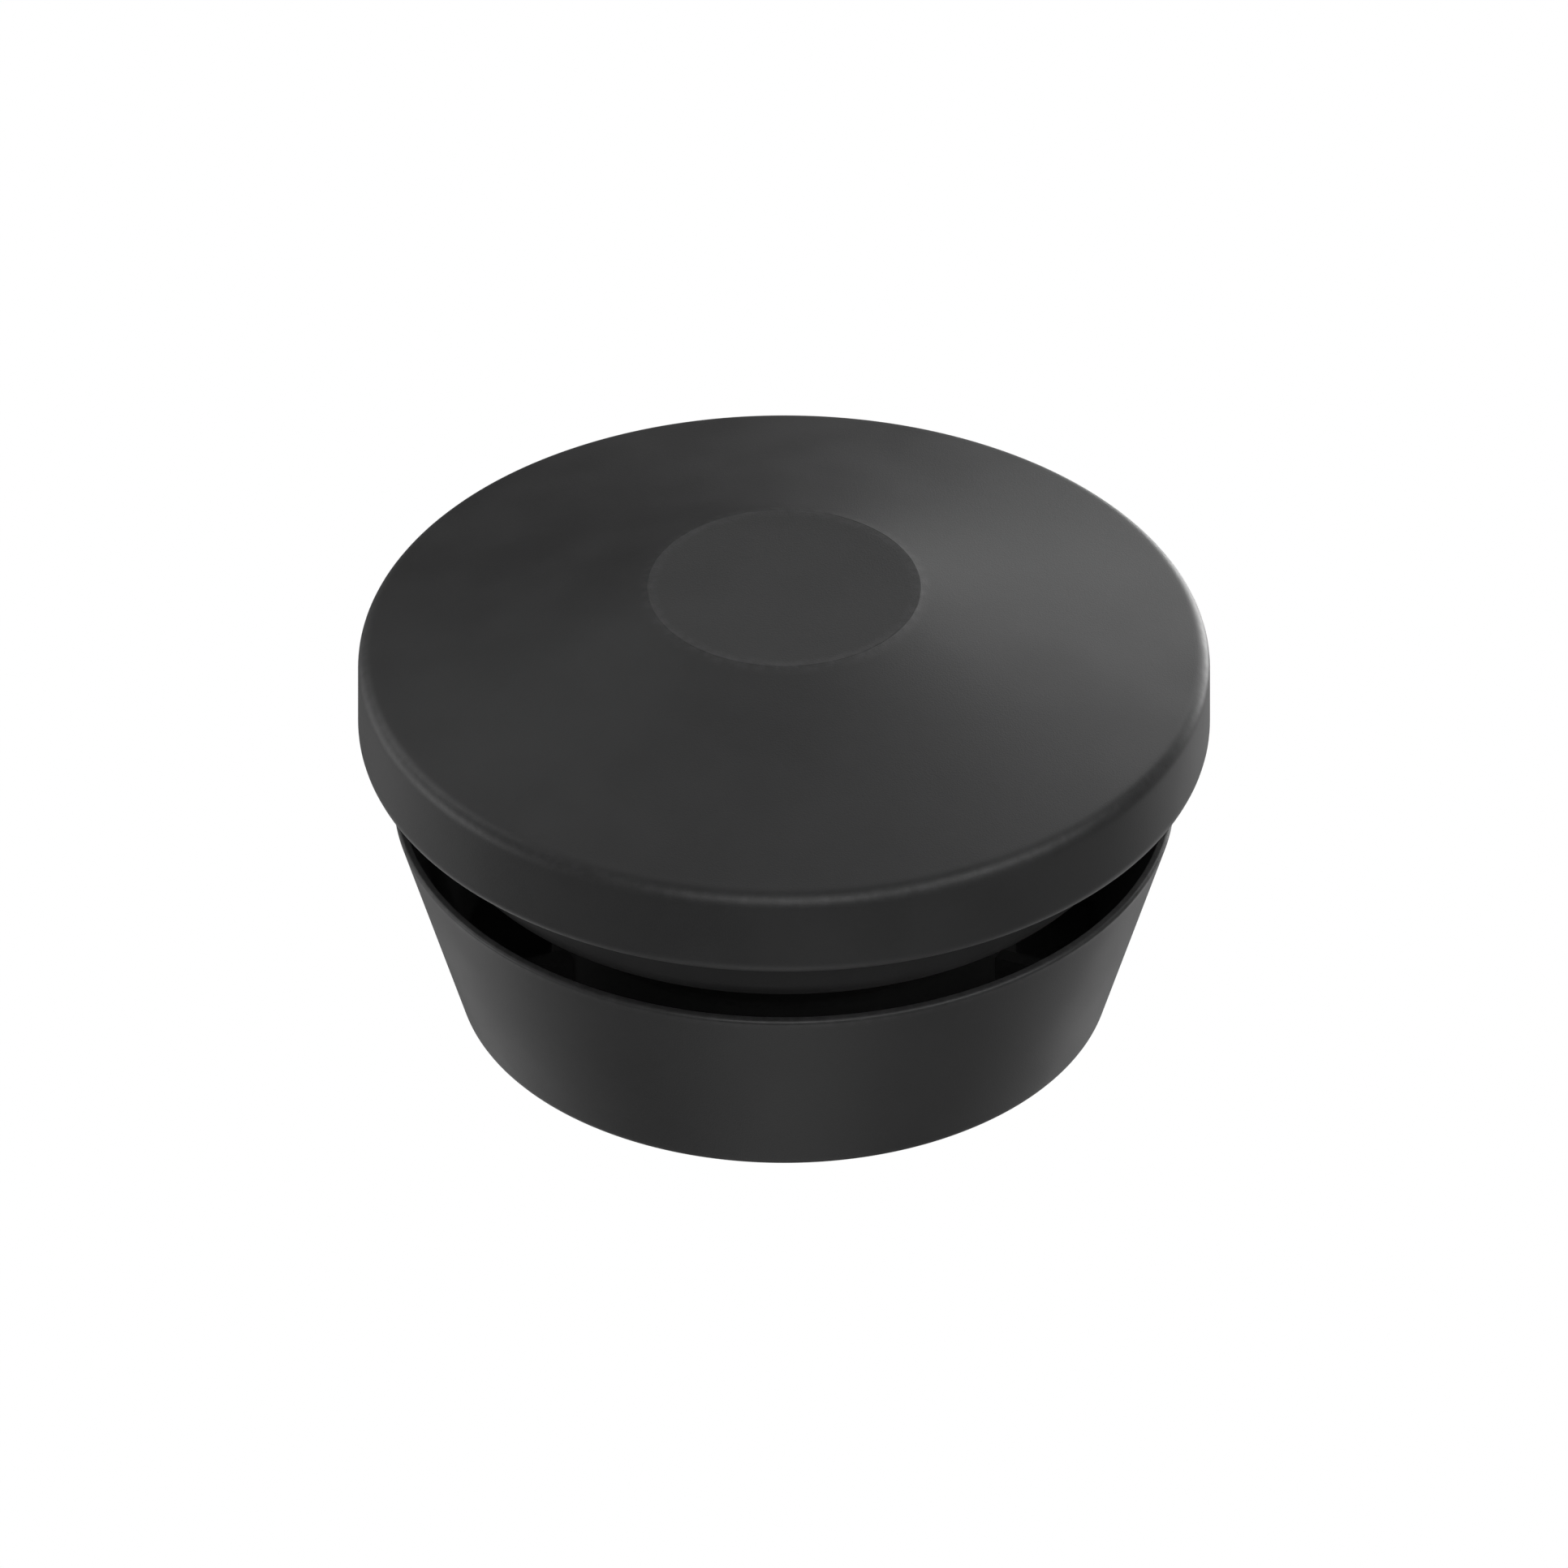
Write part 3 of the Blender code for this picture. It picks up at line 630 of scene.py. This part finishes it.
def make_collar():
    """The spigot in the desk's hole, its flange, its screw holes and its two guide posts."""
    web_top = COLLAR_BOTTOM + COLLAR_WALL
    groove_inner, groove_outer = SEAL_GROOVE
    groove_top = CAP_UNDERSIDE + SEAL_DEPTH
    collar = turned(
        "moulded_collar",
        [
            (FLANGE_RADIUS, FLANGE_TOP, 0.1),
            (FLANGE_RADIUS, CAP_UNDERSIDE, 0.1),
            (groove_outer, CAP_UNDERSIDE, 0.1),
            (groove_outer, groove_top, 0.1),
            (groove_inner, groove_top, 0.1),
            (groove_inner, CAP_UNDERSIDE, 0.1),
            (COLLAR_RADIUS, CAP_UNDERSIDE, 0.25),
            (COLLAR_RADIUS, COLLAR_BOTTOM, COLLAR_FILLET),
            (SPRING_POCKET_RADIUS, COLLAR_BOTTOM, 0.4),
            (SPRING_POCKET_RADIUS, SPRING_POCKET_TOP, 0.2),
            (BOLT_HOLE_RADIUS, SPRING_POCKET_TOP, 0.2),
            (BOLT_HOLE_RADIUS, FLANGE_TOP, 0.2),
            (HUB_RADIUS, FLANGE_TOP, 0.3),
            (HUB_RADIUS, web_top, 0.5),
            (COLLAR_RADIUS - COLLAR_WALL, web_top, 0.8),
            (COLLAR_RADIUS - COLLAR_WALL, FLANGE_TOP, 0.2),
        ],
    )
    places = around(SCREW_OFFSET, SCREW_ANGLES)
    post_top = web_top - BITE
    tubes = [prism("tube", TUBE_RADIUS, post_top, FLANGE_TOP, SMALL_STEPS, place) for place in places]
    posts = []
    for x in (-POST_OFFSET, POST_OFFSET):
        post = turned_solid(
            "post",
            [
                (0, post_top, 0),
                (POST_RADIUS, post_top, 0),
                (POST_RADIUS, POST_BOTTOM, 0.5),
                (0, POST_BOTTOM, 0),
            ],
            SMALL_STEPS,
        )
        post.data.transform(Matrix.Translation((x * MM, 0, 0)))
        posts.append(post)
    combine(collar, "UNION", tubes + posts)
    hole_radius = SCREW_RADIUS + SCREW_HOLE_GAP
    hole_top = FLANGE_TOP + PAST
    mouth = COLLAR_BOTTOM - PAST
    head_space = low("collar_screw_1").z + SCREW_HEAD_HEIGHT + SCREW_HEAD_GAP
    cutters = []
    for place in places:
        cutters.append(prism("hole", hole_radius, COLLAR_BOTTOM, hole_top, SMALL_STEPS, place))
        cutters.append(prism("counterbore", COUNTERBORE_RADIUS, mouth, head_space, SMALL_STEPS, place))
    combine(collar, "DIFFERENCE", cutters)
    return collar


def make_seal():
    """The foam ring in the flange's groove."""
    inner = SEAL_GROOVE[0] + SEAL_GAP
    outer = high("seal_ring").x
    bottom = low("seal_ring").z
    top = high("seal_ring").z
    return turned(
        "foam_seal",
        [(outer, top, 0.1), (outer, bottom, 0.28), (inner, bottom, 0.28), (inner, top, 0.1)],
    )


def make_cup():
    """The tapered cup: its thin wall and round lip, the channel inside, and the thumb nut's pocket below."""
    pocket_outer = NUT_POCKET_RADIUS + NUT_POCKET_WALL
    rim_inner, rim_outer = SPRING_RIM
    rim_top = ROOF_TOP + SPRING_RIM_HEIGHT
    cup = turned(
        "moulded_cup",
        [
            (cup_radius(LIP_TOP), LIP_TOP, LIP_FILLET),
            (FOOT_RADIUS, 0, FOOT_FILLET),
            (FOOT_INNER_RADIUS, 0, 0.25),
            (FOOT_INNER_RADIUS, FOOT_RECESS, 0.2),
            (NUT_POCKET_RADIUS, FOOT_RECESS, 0.3),
            (NUT_POCKET_RADIUS, ROOF_LOW, 0.5),
            (CUP_HOLE_RADIUS, ROOF_LOW, 0.2),
            (CUP_HOLE_RADIUS, ROOF_TOP, 0.2),
            (rim_inner, ROOF_TOP, 0.2),
            (rim_inner, rim_top, 0.3),
            (rim_outer, rim_top, 0.3),
            (rim_outer, ROOF_TOP, 0.3),
            (pocket_outer, ROOF_TOP, 0.6),
            (pocket_outer, CUP_FLOOR, 0.6),
            (cup_radius(CUP_FLOOR) - CUP_WALL, CUP_FLOOR, 0.8),
            (cup_radius(LIP_TOP) - LIP_WALL, LIP_TOP, LIP_INNER_FILLET),
        ],
    )
    rib_low = (FOOT_RECESS + CUP_FLOOR) / 2
    inner_end = NUT_POCKET_RADIUS + NUT_POCKET_WALL / 2
    section = [
        (inner_end, rib_low),
        (cup_radius(rib_low) - CUP_WALL / 2, rib_low),
        (cup_radius(CUP_RIB_TOP) - CUP_WALL / 2, CUP_RIB_TOP),
        (inner_end, CUP_RIB_TOP),
    ]
    rib_angles = [(i + 0.5) * 360 / CUP_RIB_COUNT for i in range(CUP_RIB_COUNT)]
    combine(cup, "UNION", radial_ribs(section, CUP_RIB_THICKNESS, rib_angles))
    cutters = []
    for x in (-POST_OFFSET, POST_OFFSET):
        hole_radius = POST_RADIUS + SLIDE_GAP
        cutters.append(prism("post_hole", hole_radius, ROOF_LOW - PAST, ROOF_TOP + PAST, SMALL_STEPS, (x, 0)))
    pin_circle = (NUT_POCKET_RADIUS + FOOT_INNER_RADIUS) / 2
    for place in around(pin_circle, [i * 360 / CUP_RIB_COUNT for i in range(CUP_RIB_COUNT)]):
        mark_top = FOOT_RECESS + PIN_MARK_DEPTH
        cutters.append(prism("pin_mark", PIN_MARK_RADIUS, FOOT_RECESS - PAST, mark_top, SMALL_STEPS, place))
    combine(cup, "DIFFERENCE", cutters)
    return cup


def make_thumb_nut():
    """The scalloped knob: a dished underside, a moulded-in insert's bore, and a driver's slot across it."""
    bottom = low("thumb_nut").z
    top = high("thumb_nut").z
    bore = high("nut_insert").x + DISC_GAP
    dish_inner, dish_outer = NUT_DISH
    dish = bottom + NUT_DISH_DEPTH
    section = rounded(
        [
            (NUT_RADIUS, top, 0.5),
            (NUT_RADIUS, bottom, 0.7),
            (dish_outer, bottom, 0.3),
            (dish_outer, dish, 0.3),
            (dish_inner, dish, 0.3),
            (dish_inner, bottom, 0.2),
            (bore, bottom, 0.1),
            (bore, top, 0.1),
        ]
    )
    rings = []
    for radius, height in section:
        share = min(max((radius - NUT_GRIP_START) / (NUT_RADIUS - NUT_GRIP_START), 0), 1)

        def radius_at(angle):
            return radius + share * NUT_GRIP_DEPTH * math.cos(NUT_GRIPS * angle)

        rings.append(circle(radius_at, height, NUT_GRIPS * NUT_GRIP_STEPS))
    nut = skin("scalloped_nut", rings, closed=True)
    reach = NUT_RADIUS + NUT_GRIP_DEPTH + PAST
    corner = (-reach, -SLOT_WIDTH / 2, bottom - PAST)
    opposite = (reach, SLOT_WIDTH / 2, bottom + SLOT_DEPTH)
    combine(nut, "DIFFERENCE", [box("slot", corner, opposite)])
    return nut


# ---------------------------------------------------------------- hardware


def make_bolt():
    """The M6 bolt, its hexagon head and the clip's groove near its end."""
    head_top = high("centre_bolt").z
    head_low = head_top - BOLT_HEAD_HEIGHT
    bolt_end = low("centre_bolt").z
    shank_top = head_low + PAST
    bolt = threaded_rod("hex_bolt", bolt_end, shank_top, BOLT_ROOT_RADIUS, BOLT_RADIUS, BOLT_CHAMFER)
    combine(bolt, "UNION", [hexagon("head", head_low, head_top)])
    low_edge, top_edge = CLIP_GROOVE
    corners = [
        (BOLT_RADIUS + PAST, top_edge, 0),
        (BOLT_RADIUS + PAST, low_edge, 0),
        (CLIP_GROOVE_RADIUS, low_edge, 0.1),
        (CLIP_GROOVE_RADIUS, top_edge, 0.1),
    ]
    combine(bolt, "DIFFERENCE", [turned("groove", corners, SMALL_STEPS)])
    return bolt


def thread_cutter(bottom, top):
    """What cuts a nut's thread to fit the bolt's, with a little room."""
    root = BOLT_ROOT_RADIUS + NUT_THREAD_GAP
    crest = BOLT_RADIUS + NUT_THREAD_GAP
    return threaded_rod("thread", bottom - PAST, top + PAST, root, crest, 0)


def make_lock_nut():
    """The thin nut that fixes the bolt to the collar."""
    bottom = low("lock_nut").z
    top = high("lock_nut").z
    nut = hexagon("thin_nut", bottom, top)
    combine(nut, "DIFFERENCE", [thread_cutter(bottom, top)])
    return nut


def make_insert():
    """The threaded brass insert, with a countersunk mouth at each end."""
    bottom = low("nut_insert").z
    top = high("nut_insert").z
    outer = high("nut_insert").x
    inner = BOLT_ROOT_RADIUS - INSERT_BITE
    insert = turned(
        "brass_insert",
        [(outer, top, 0.15), (outer, bottom, 0.15), (inner, bottom, 0), (inner, top, 0)],
        SMALL_STEPS,
    )
    mouth = BOLT_RADIUS + COUNTERSINK_ROOM
    sink = COUNTERSINK_DEPTH
    cones = []
    for face, way in ((bottom, -1), (top, 1)):
        corners = [
            (0, face + way, 0),
            (mouth, face + way, 0),
            (mouth, face, 0),
            (mouth - sink, face - way * sink, 0),
            (0, face - way * sink, 0),
        ]
        cones.append(turned_solid("countersink", corners, SMALL_STEPS))
    combine(insert, "DIFFERENCE", [thread_cutter(bottom, top), *cones])
    return insert


def make_washer(name, node):
    """A stamped flat washer, rolled at one edge and crisp at the other."""
    outer = high(node).x
    bottom = low(node).z
    top = high(node).z
    return turned(
        name,
        [
            (outer, top, 0.08),
            (outer, bottom, 0.22),
            (BOLT_HOLE_RADIUS, bottom, 0.22),
            (BOLT_HOLE_RADIUS, top, 0.08),
        ],
        WASHER_STEPS,
    )


def make_screw(number, place):
    """A collar screw, head down: a cheese head with a hexagon socket, and a coarse thread for plastic."""
    node = f"collar_screw_{number}"
    head_low = low(node).z
    head_top = head_low + SCREW_HEAD_HEIGHT
    tip = high(node).z
    screw = threaded_rod(
        f"tapping_screw_{number}",
        head_top - BITE,
        tip,
        SCREW_ROOT_RADIUS,
        SCREW_RADIUS,
        SCREW_POINT,
        SCREW_STEPS,
    )
    corners = [
        (0, head_top, 0),
        (SCREW_HEAD_RADIUS, head_top, 0.15),
        (SCREW_HEAD_RADIUS, head_low, 0.4),
        (0, head_low, 0),
    ]
    combine(screw, "UNION", [turned_solid("head", corners, SMALL_STEPS)])
    socket_top = head_low + SCREW_SOCKET_DEPTH
    combine(screw, "DIFFERENCE", [prism("socket", SCREW_SOCKET_RADIUS, head_low - PAST, socket_top, 6)])
    screw.data.transform(Matrix.Translation((place[0] * MM, place[1] * MM, 0)))
    return screw


def make_clip():
    """The stamped open ring in the bolt's groove."""
    outer = -low("end_clip").x
    bottom = low("end_clip").z
    top = high("end_clip").z
    corners = [
        (outer, top, 0.12),
        (outer, bottom, 0.12),
        (CLIP_INNER_RADIUS, bottom, 0.08),
        (CLIP_INNER_RADIUS, top, 0.08),
    ]
    clip = turned("open_clip", corners, SMALL_STEPS)
    half = CLIP_MOUTH / 2
    combine(clip, "DIFFERENCE", [box("mouth", (0, -half, bottom - PAST), (outer + PAST, half, top + PAST))])
    return clip


def make_spring():
    """The release spring's wire, with closed end turns."""
    bottom = low("release_spring").z + WIRE_RADIUS
    top = high("release_spring").z - WIRE_RADIUS
    end_rise = SPRING_END_TURNS * 2 * WIRE_RADIUS
    body_turns = SPRING_TURNS - 2 * SPRING_END_TURNS

    def height(turns):
        if turns < SPRING_END_TURNS:
            return bottom + end_rise * turns / SPRING_END_TURNS
        if turns > SPRING_TURNS - SPRING_END_TURNS:
            return top - end_rise * (SPRING_TURNS - turns) / SPRING_END_TURNS
        share = (turns - SPRING_END_TURNS) / body_turns
        return bottom + end_rise + (top - bottom - 2 * end_rise) * share

    count = round(SPRING_TURNS * WIRE_STEPS_PER_TURN)
    rings = []
    for i in range(count + 1):
        turns = SPRING_TURNS * i / count
        turn = Matrix.Rotation(2 * math.pi * turns, 3, "Z")
        centre = Vector((COIL_RADIUS, 0, 0))
        ring = []
        for side in range(WIRE_SIDES):
            a = 2 * math.pi * side / WIRE_SIDES
            edge = centre + Vector((math.cos(a), 0, math.sin(a))) * WIRE_RADIUS
            ring.append(turn @ edge + Vector((0, 0, height(turns))))
        rings.append(ring)
    return skin("coil_spring", rings, closed=False)


# ---------------------------------------------------------------- finishes


class Finish:
    """A material, with short calls for the procedural nodes that the finishes share."""

    def __init__(self, name, metallic=0.0):
        self.material = bpy.data.materials.new(name)
        self.material.use_nodes = True
        self.nodes = self.material.node_tree.nodes
        self.link = self.material.node_tree.links.new
        self.shader = self.nodes["Principled BSDF"]
        self.shader.inputs["Metallic"].default_value = metallic
        self.place = self.nodes.new("ShaderNodeTexCoord").outputs["Object"]
        axes = self.nodes.new("ShaderNodeSeparateXYZ")
        self.link(self.place, axes.inputs[0])
        flat = self.nodes.new("ShaderNodeCombineXYZ")
        self.link(axes.outputs["X"], flat.inputs["X"])
        self.link(axes.outputs["Y"], flat.inputs["Y"])
        length = self.nodes.new("ShaderNodeVectorMath")
        length.operation = "LENGTH"
        self.link(flat.outputs[0], length.inputs[0])
        section = self.nodes.new("ShaderNodeCombineXYZ")
        self.link(length.outputs["Value"], section.inputs["X"])
        self.link(axes.outputs["Z"], section.inputs["Y"])
        self.section = section.outputs[0]

    def join(self, value, socket):
        """Links a node's output to an input, or sets a plain number on it."""
        if isinstance(value, bpy.types.NodeSocket):
            self.link(value, socket)
        else:
            socket.default_value = value

    def noise(self, size, detail=2.0, place=None):
        """Soft noise whose features are about size millimetres across."""
        node = self.nodes.new("ShaderNodeTexNoise")
        node.inputs["Scale"].default_value = 1 / (size * MM)
        node.inputs["Detail"].default_value = detail
        self.link(place or self.place, node.inputs["Vector"])
        return node.outputs[0]

    def cells(self, size):
        """Distance from the middle of cells of about that size in millimetres."""
        node = self.nodes.new("ShaderNodeTexVoronoi")
        node.inputs["Scale"].default_value = 1 / (size * MM)
        self.link(self.place, node.inputs["Vector"])
        return node.outputs["Distance"]

    def lathe_lines(self, size):
        """Noise in rings about the axis, as a cutting tool leaves them."""
        node = self.nodes.new("ShaderNodeVectorMath")
        node.operation = "MULTIPLY"
        node.inputs[1].default_value = (1, 1, 0)
        self.link(self.section, node.inputs[0])
        return self.noise(size, 3.0, node.outputs[0])

    def ranged(self, value, start, end, first, last):
        """The value's stretch from start to end, as first to last with soft ends."""
        node = self.nodes.new("ShaderNodeMapRange")
        node.interpolation_type = "SMOOTHSTEP"
        self.link(value, node.inputs["Value"])
        for name, number in (("From Min", start), ("From Max", end), ("To Min", first), ("To Max", last)):
            node.inputs[name].default_value = number
        return node.outputs[0]

    def calculate(self, operation, first, second):
        """One Math node's result."""
        node = self.nodes.new("ShaderNodeMath")
        node.operation = operation
        self.join(first, node.inputs[0])
        self.join(second, node.inputs[1])
        return node.outputs[0]

    def mixed(self, share, first, second):
        """One colour changing to another with the share."""
        node = self.nodes.new("ShaderNodeMix")
        node.data_type = "RGBA"
        self.link(share, node.inputs[0])
        for colour, socket in ((first, node.inputs[6]), (second, node.inputs[7])):
            if isinstance(colour, bpy.types.NodeSocket):
                self.link(colour, socket)
            else:
                socket.default_value = (*colour, 1)
        return node.outputs[2]

    def near_edges(self, edges):
        """1 on the circles (radius, height) about the axis, falling to 0 at the width of the worn,
        painted-highlight edges from them.
        """
        nearest = None
        for radius, height in edges:
            node = self.nodes.new("ShaderNodeVectorMath")
            node.operation = "DISTANCE"
            node.inputs[1].default_value = (radius * MM, height * MM, 0)
            self.link(self.section, node.inputs[0])
            distance = node.outputs["Value"]
            nearest = distance if nearest is None else self.calculate("MINIMUM", nearest, distance)
        return self.ranged(nearest, 0, WEAR_AND_HIGHLIGHT_WIDTH * MM, 1, 0)

    def along(self, outward, upward):
        """How far a point of the section lies along a direction, in metres."""
        node = self.nodes.new("ShaderNodeVectorMath")
        node.operation = "DOT_PRODUCT"
        node.inputs[1].default_value = (outward, upward, 0)
        self.link(self.section, node.inputs[0])
        return node.outputs["Value"]

    def within_cone(self, foot_radius, slope, floor):
        """1 above the floor and inside a cone (its radius at height 0, and its slope), and 0 elsewhere."""
        soft_start = (foot_radius - SOFT_EDGE) * MM
        inward = self.ranged(self.along(1, -slope), soft_start, foot_radius * MM, 1, 0)
        above = self.ranged(self.along(0, 1), floor * MM, (floor + SOFT_EDGE) * MM, 0, 1)
        return self.calculate("MULTIPLY", inward, above)

    def bumps(self, layers):
        """Stacks bump layers (height, depth in millimetres)."""
        normal = None
        for height, depth in layers:
            node = self.nodes.new("ShaderNodeBump")
            node.inputs["Distance"].default_value = depth * MM
            self.link(height, node.inputs["Height"])
            if normal:
                self.link(normal, node.inputs["Normal"])
            normal = node.outputs[0]
        self.link(normal, self.shader.inputs["Normal"])

    def show(self, colour, roughness):
        """Gives the shader its colour and roughness, and returns the finished material."""
        self.link(colour, self.shader.inputs["Base Color"])
        self.link(roughness, self.shader.inputs["Roughness"])
        return self.material


def scaled(colour, factor):
    """A lighter or darker shade of a colour."""
    return tuple(channel * factor for channel in colour)


def moulded_plastic(name, roughness, worn_and_highlit_edges, wear_and_highlight=1.9, inside=None):
    """Satin black plastic: a fine spark-eroded grain, faint clouding, and edges worn smooth and paler, the
    paleness partly a painted highlight.

    The wear_and_highlight factor is how many times paler such an edge is. A piece with an inside (a cone's
    foot radius, slope and floor) is dull within it, and darker there as painted shade.
    """
    finish = Finish(name)
    clouds = finish.noise(7, 3.0)
    patches = finish.noise(0.9, 3.0)
    grain = finish.cells(0.14)
    fine = finish.noise(0.05, 1.0)
    # Paler edges: worn, and partly a painted highlight that stands in for the fillets' light.
    wear_and_highlight_mask = finish.near_edges(worn_and_highlit_edges)
    wear_and_highlight_mask = finish.calculate("MULTIPLY", wear_and_highlight_mask, finish.ranged(patches, 0.35, 0.7, 0.25, 1))
    base = finish.mixed(finish.ranged(clouds, 0.3, 0.7, 0, 1), scaled(BLACK, 0.92), scaled(BLACK, 1.08))
    base = finish.mixed(finish.ranged(grain, 0.2, 0.6, 0.1, 0), base, scaled(BLACK, 1.5))
    base = finish.mixed(finish.calculate("MULTIPLY", wear_and_highlight_mask, 0.6), base, scaled(BLACK, wear_and_highlight))
    rough = finish.ranged(clouds, 0.3, 0.7, roughness - 0.02, roughness + 0.02)
    rough = finish.calculate("SUBTRACT", rough, finish.calculate("MULTIPLY", wear_and_highlight_mask, 0.07))
    if inside:
        # Painted shade: the inside's colour falls to a fifth of the plastic's, as shade in the cavity; it is
        # also made duller.
        within = finish.within_cone(*inside)
        base = finish.mixed(within, base, scaled(BLACK, 0.2))
        rough = finish.calculate("ADD", rough, finish.calculate("MULTIPLY", within, 0.4))
    finish.bumps([(clouds, 0.02), (grain, 0.006), (fine, 0.002)])
    return finish.show(base, rough)


def foam_rubber():
    """Closed-cell foam: small round cells of several sizes in dark rubber."""
    finish = Finish("foam_rubber")
    cells = finish.cells(0.35)
    small = finish.cells(0.16)
    clouds = finish.noise(2.5, 3.0)
    base = finish.mixed(finish.ranged(cells, 0.1, 0.6, 0, 1), (0.028, 0.028, 0.029), (0.062, 0.062, 0.064))
    rough = finish.ranged(clouds, 0.3, 0.7, 0.86, 0.98)
    finish.bumps([(cells, 0.06), (small, 0.03)])
    return finish.show(base, rough)


def zinc_plate():
    """Bright zinc on steel: a cold grey with faint plating bloom, scuffs and fine handling scratches."""
    finish = Finish("zinc_plate", 1.0)
    bloom = finish.noise(2.2, 4.0)
    scuffs = finish.noise(0.35, 5.0)
    lines = finish.lathe_lines(0.12)
    base = finish.mixed(finish.ranged(bloom, 0.3, 0.7, 0, 1), (0.50, 0.51, 0.53), (0.66, 0.67, 0.68))
    base = finish.mixed(finish.ranged(scuffs, 0.55, 0.75, 0, 0.5), base, (0.38, 0.38, 0.40))
    rough = finish.calculate(
        "ADD", finish.ranged(bloom, 0.3, 0.7, 0.27, 0.38), finish.ranged(scuffs, 0.5, 0.75, 0, 0.12)
    )
    finish.bumps([(lines, 0.004), (scuffs, 0.004)])
    return finish.show(base, rough)


def drawn_steel():
    """Oiled spring steel: darker than the plated parts, with the fine lines of the drawing die."""
    finish = Finish("drawn_steel", 1.0)
    film = finish.noise(1.6, 3.0)
    lines = finish.lathe_lines(0.06)
    base = finish.mixed(finish.ranged(film, 0.3, 0.7, 0, 1), (0.30, 0.30, 0.32), (0.45, 0.44, 0.43))
    rough = finish.ranged(lines, 0.3, 0.7, 0.24, 0.36)
    finish.bumps([(lines, 0.004)])
    return finish.show(base, rough)


def turned_brass():
    """Machined brass: tool rings, and a thin brown tarnish in patches."""
    finish = Finish("turned_brass", 1.0)
    tarnish = finish.noise(1.4, 4.0)
    lines = finish.lathe_lines(0.08)
    base = finish.mixed(finish.ranged(tarnish, 0.4, 0.7, 0, 1), (0.74, 0.55, 0.25), (0.46, 0.31, 0.13))
    rough = finish.calculate(
        "ADD", finish.ranged(tarnish, 0.4, 0.7, 0.22, 0.4), finish.ranged(lines, 0.3, 0.7, 0, 0.08)
    )
    finish.bumps([(lines, 0.005), (tarnish, 0.004)])
    return finish.show(base, rough)


# ---------------------------------------------------------------- the whole


def dress():
    """Makes every piece, and puts each on its body."""
    cap_edges = [(CAP_RADIUS, RIM_TOP), (CAP_RADIUS, CAP_UNDERSIDE), (DISC_RADIUS, CAP_TOP)]
    collar_edges = [(COLLAR_RADIUS, COLLAR_BOTTOM), (FLANGE_RADIUS, CAP_UNDERSIDE)]
    lip = cup_radius(LIP_TOP) - LIP_WALL / 2
    cup_edges = [(lip, LIP_TOP), (FOOT_RADIUS, 0), (NUT_POCKET_RADIUS, FOOT_RECESS)]
    cup_shaded_inside = (FOOT_RADIUS - LIP_WALL, CUP_TAPER, (FOOT_RECESS + CUP_FLOOR) / 2)
    nut_edges = [(NUT_RADIUS, low("thumb_nut").z), (NUT_RADIUS, high("thumb_nut").z)]
    cap_finish = moulded_plastic("cap_satin", 0.5, cap_edges)
    disc_finish = moulded_plastic("disc_satin", 0.48, [(DISC_RADIUS, CAP_TOP)])
    # The collar's low edge is made three times paler: a painted highlight on its fillet, besides the rubbing.
    collar_finish = moulded_plastic("collar_satin", 0.52, collar_edges, wear_and_highlight=3.0)
    cup_finish = moulded_plastic("cup_satin", 0.5, cup_edges, inside=cup_shaded_inside)
    nut_finish = moulded_plastic("nut_satin", 0.46, nut_edges)
    foam = foam_rubber()
    zinc = zinc_plate()
    steel = drawn_steel()
    brass = turned_brass()

    place_piece(make_cap(), "cap", "cap_shell", cap_finish)
    place_piece(make_disc(), "cap", "centre_disc", disc_finish)
    place_piece(make_collar(), "cap", "locating_collar", collar_finish)
    seal = place_piece(make_seal(), "cap", "seal_ring", foam)
    for number, place in enumerate(around(SCREW_OFFSET, SCREW_ANGLES), 1):
        screw = make_screw(number, place)
        place_piece(screw, "cap", f"collar_screw_{number}", zinc, THREAD_SHARP_ANGLE)
    place_piece(make_bolt(), "cap", "centre_bolt", zinc, THREAD_SHARP_ANGLE)
    place_piece(make_washer("seat_washer", "spring_washer"), "cap", "spring_washer", zinc)
    place_piece(make_lock_nut(), "cap", "lock_nut", zinc, THREAD_SHARP_ANGLE)
    spring = place_piece(make_spring(), "cap", "release_spring", steel, THREAD_SHARP_ANGLE)
    place_piece(make_clip(), "cap", "end_clip", steel)
    place_piece(make_cup(), "cup", "clamp_cup", cup_finish)
    place_piece(make_washer("thrust_washer", "nut_washer"), "cup", "nut_washer", zinc)
    place_piece(make_thumb_nut(), "nut", "thumb_nut", nut_finish)
    place_piece(make_insert(), "nut", "nut_insert", brass, THREAD_SHARP_ANGLE)

    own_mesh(spring)


def light():
    """Soft lights all round. The strongest grazes the rim from behind on the right."""
    add_world()
    add_softbox("rim_right", 150, -5, 1.94)
    add_softbox("rim_left", 240, -5, 0.38)
    add_softbox("side_left", 270, -5, 0.62)
    add_softbox("front", 0, 35, 1.0)
    add_softbox("front_right", 60, 35, 0.8)
    add_softbox("back_right", 150, 35, 0.82)
    add_softbox("back_left", 240, 35, 0.7)
    add_softbox("back_high", 180, 55, 0.23)
    add_softbox("fill_right", 135, -35, 0.18, shadow=False)
    add_softbox("fill_low_right", 135, -50, 0.13, shadow=False)
    add_softbox("fill_low_left", 225, -50, 0.22, shadow=False)
    add_softbox("fill_low_front", 0, -65, 0.21, shadow=False)


bpy.context.scene.view_settings.view_transform = "Standard"
add_camera()
light()
add_floor()
dress()
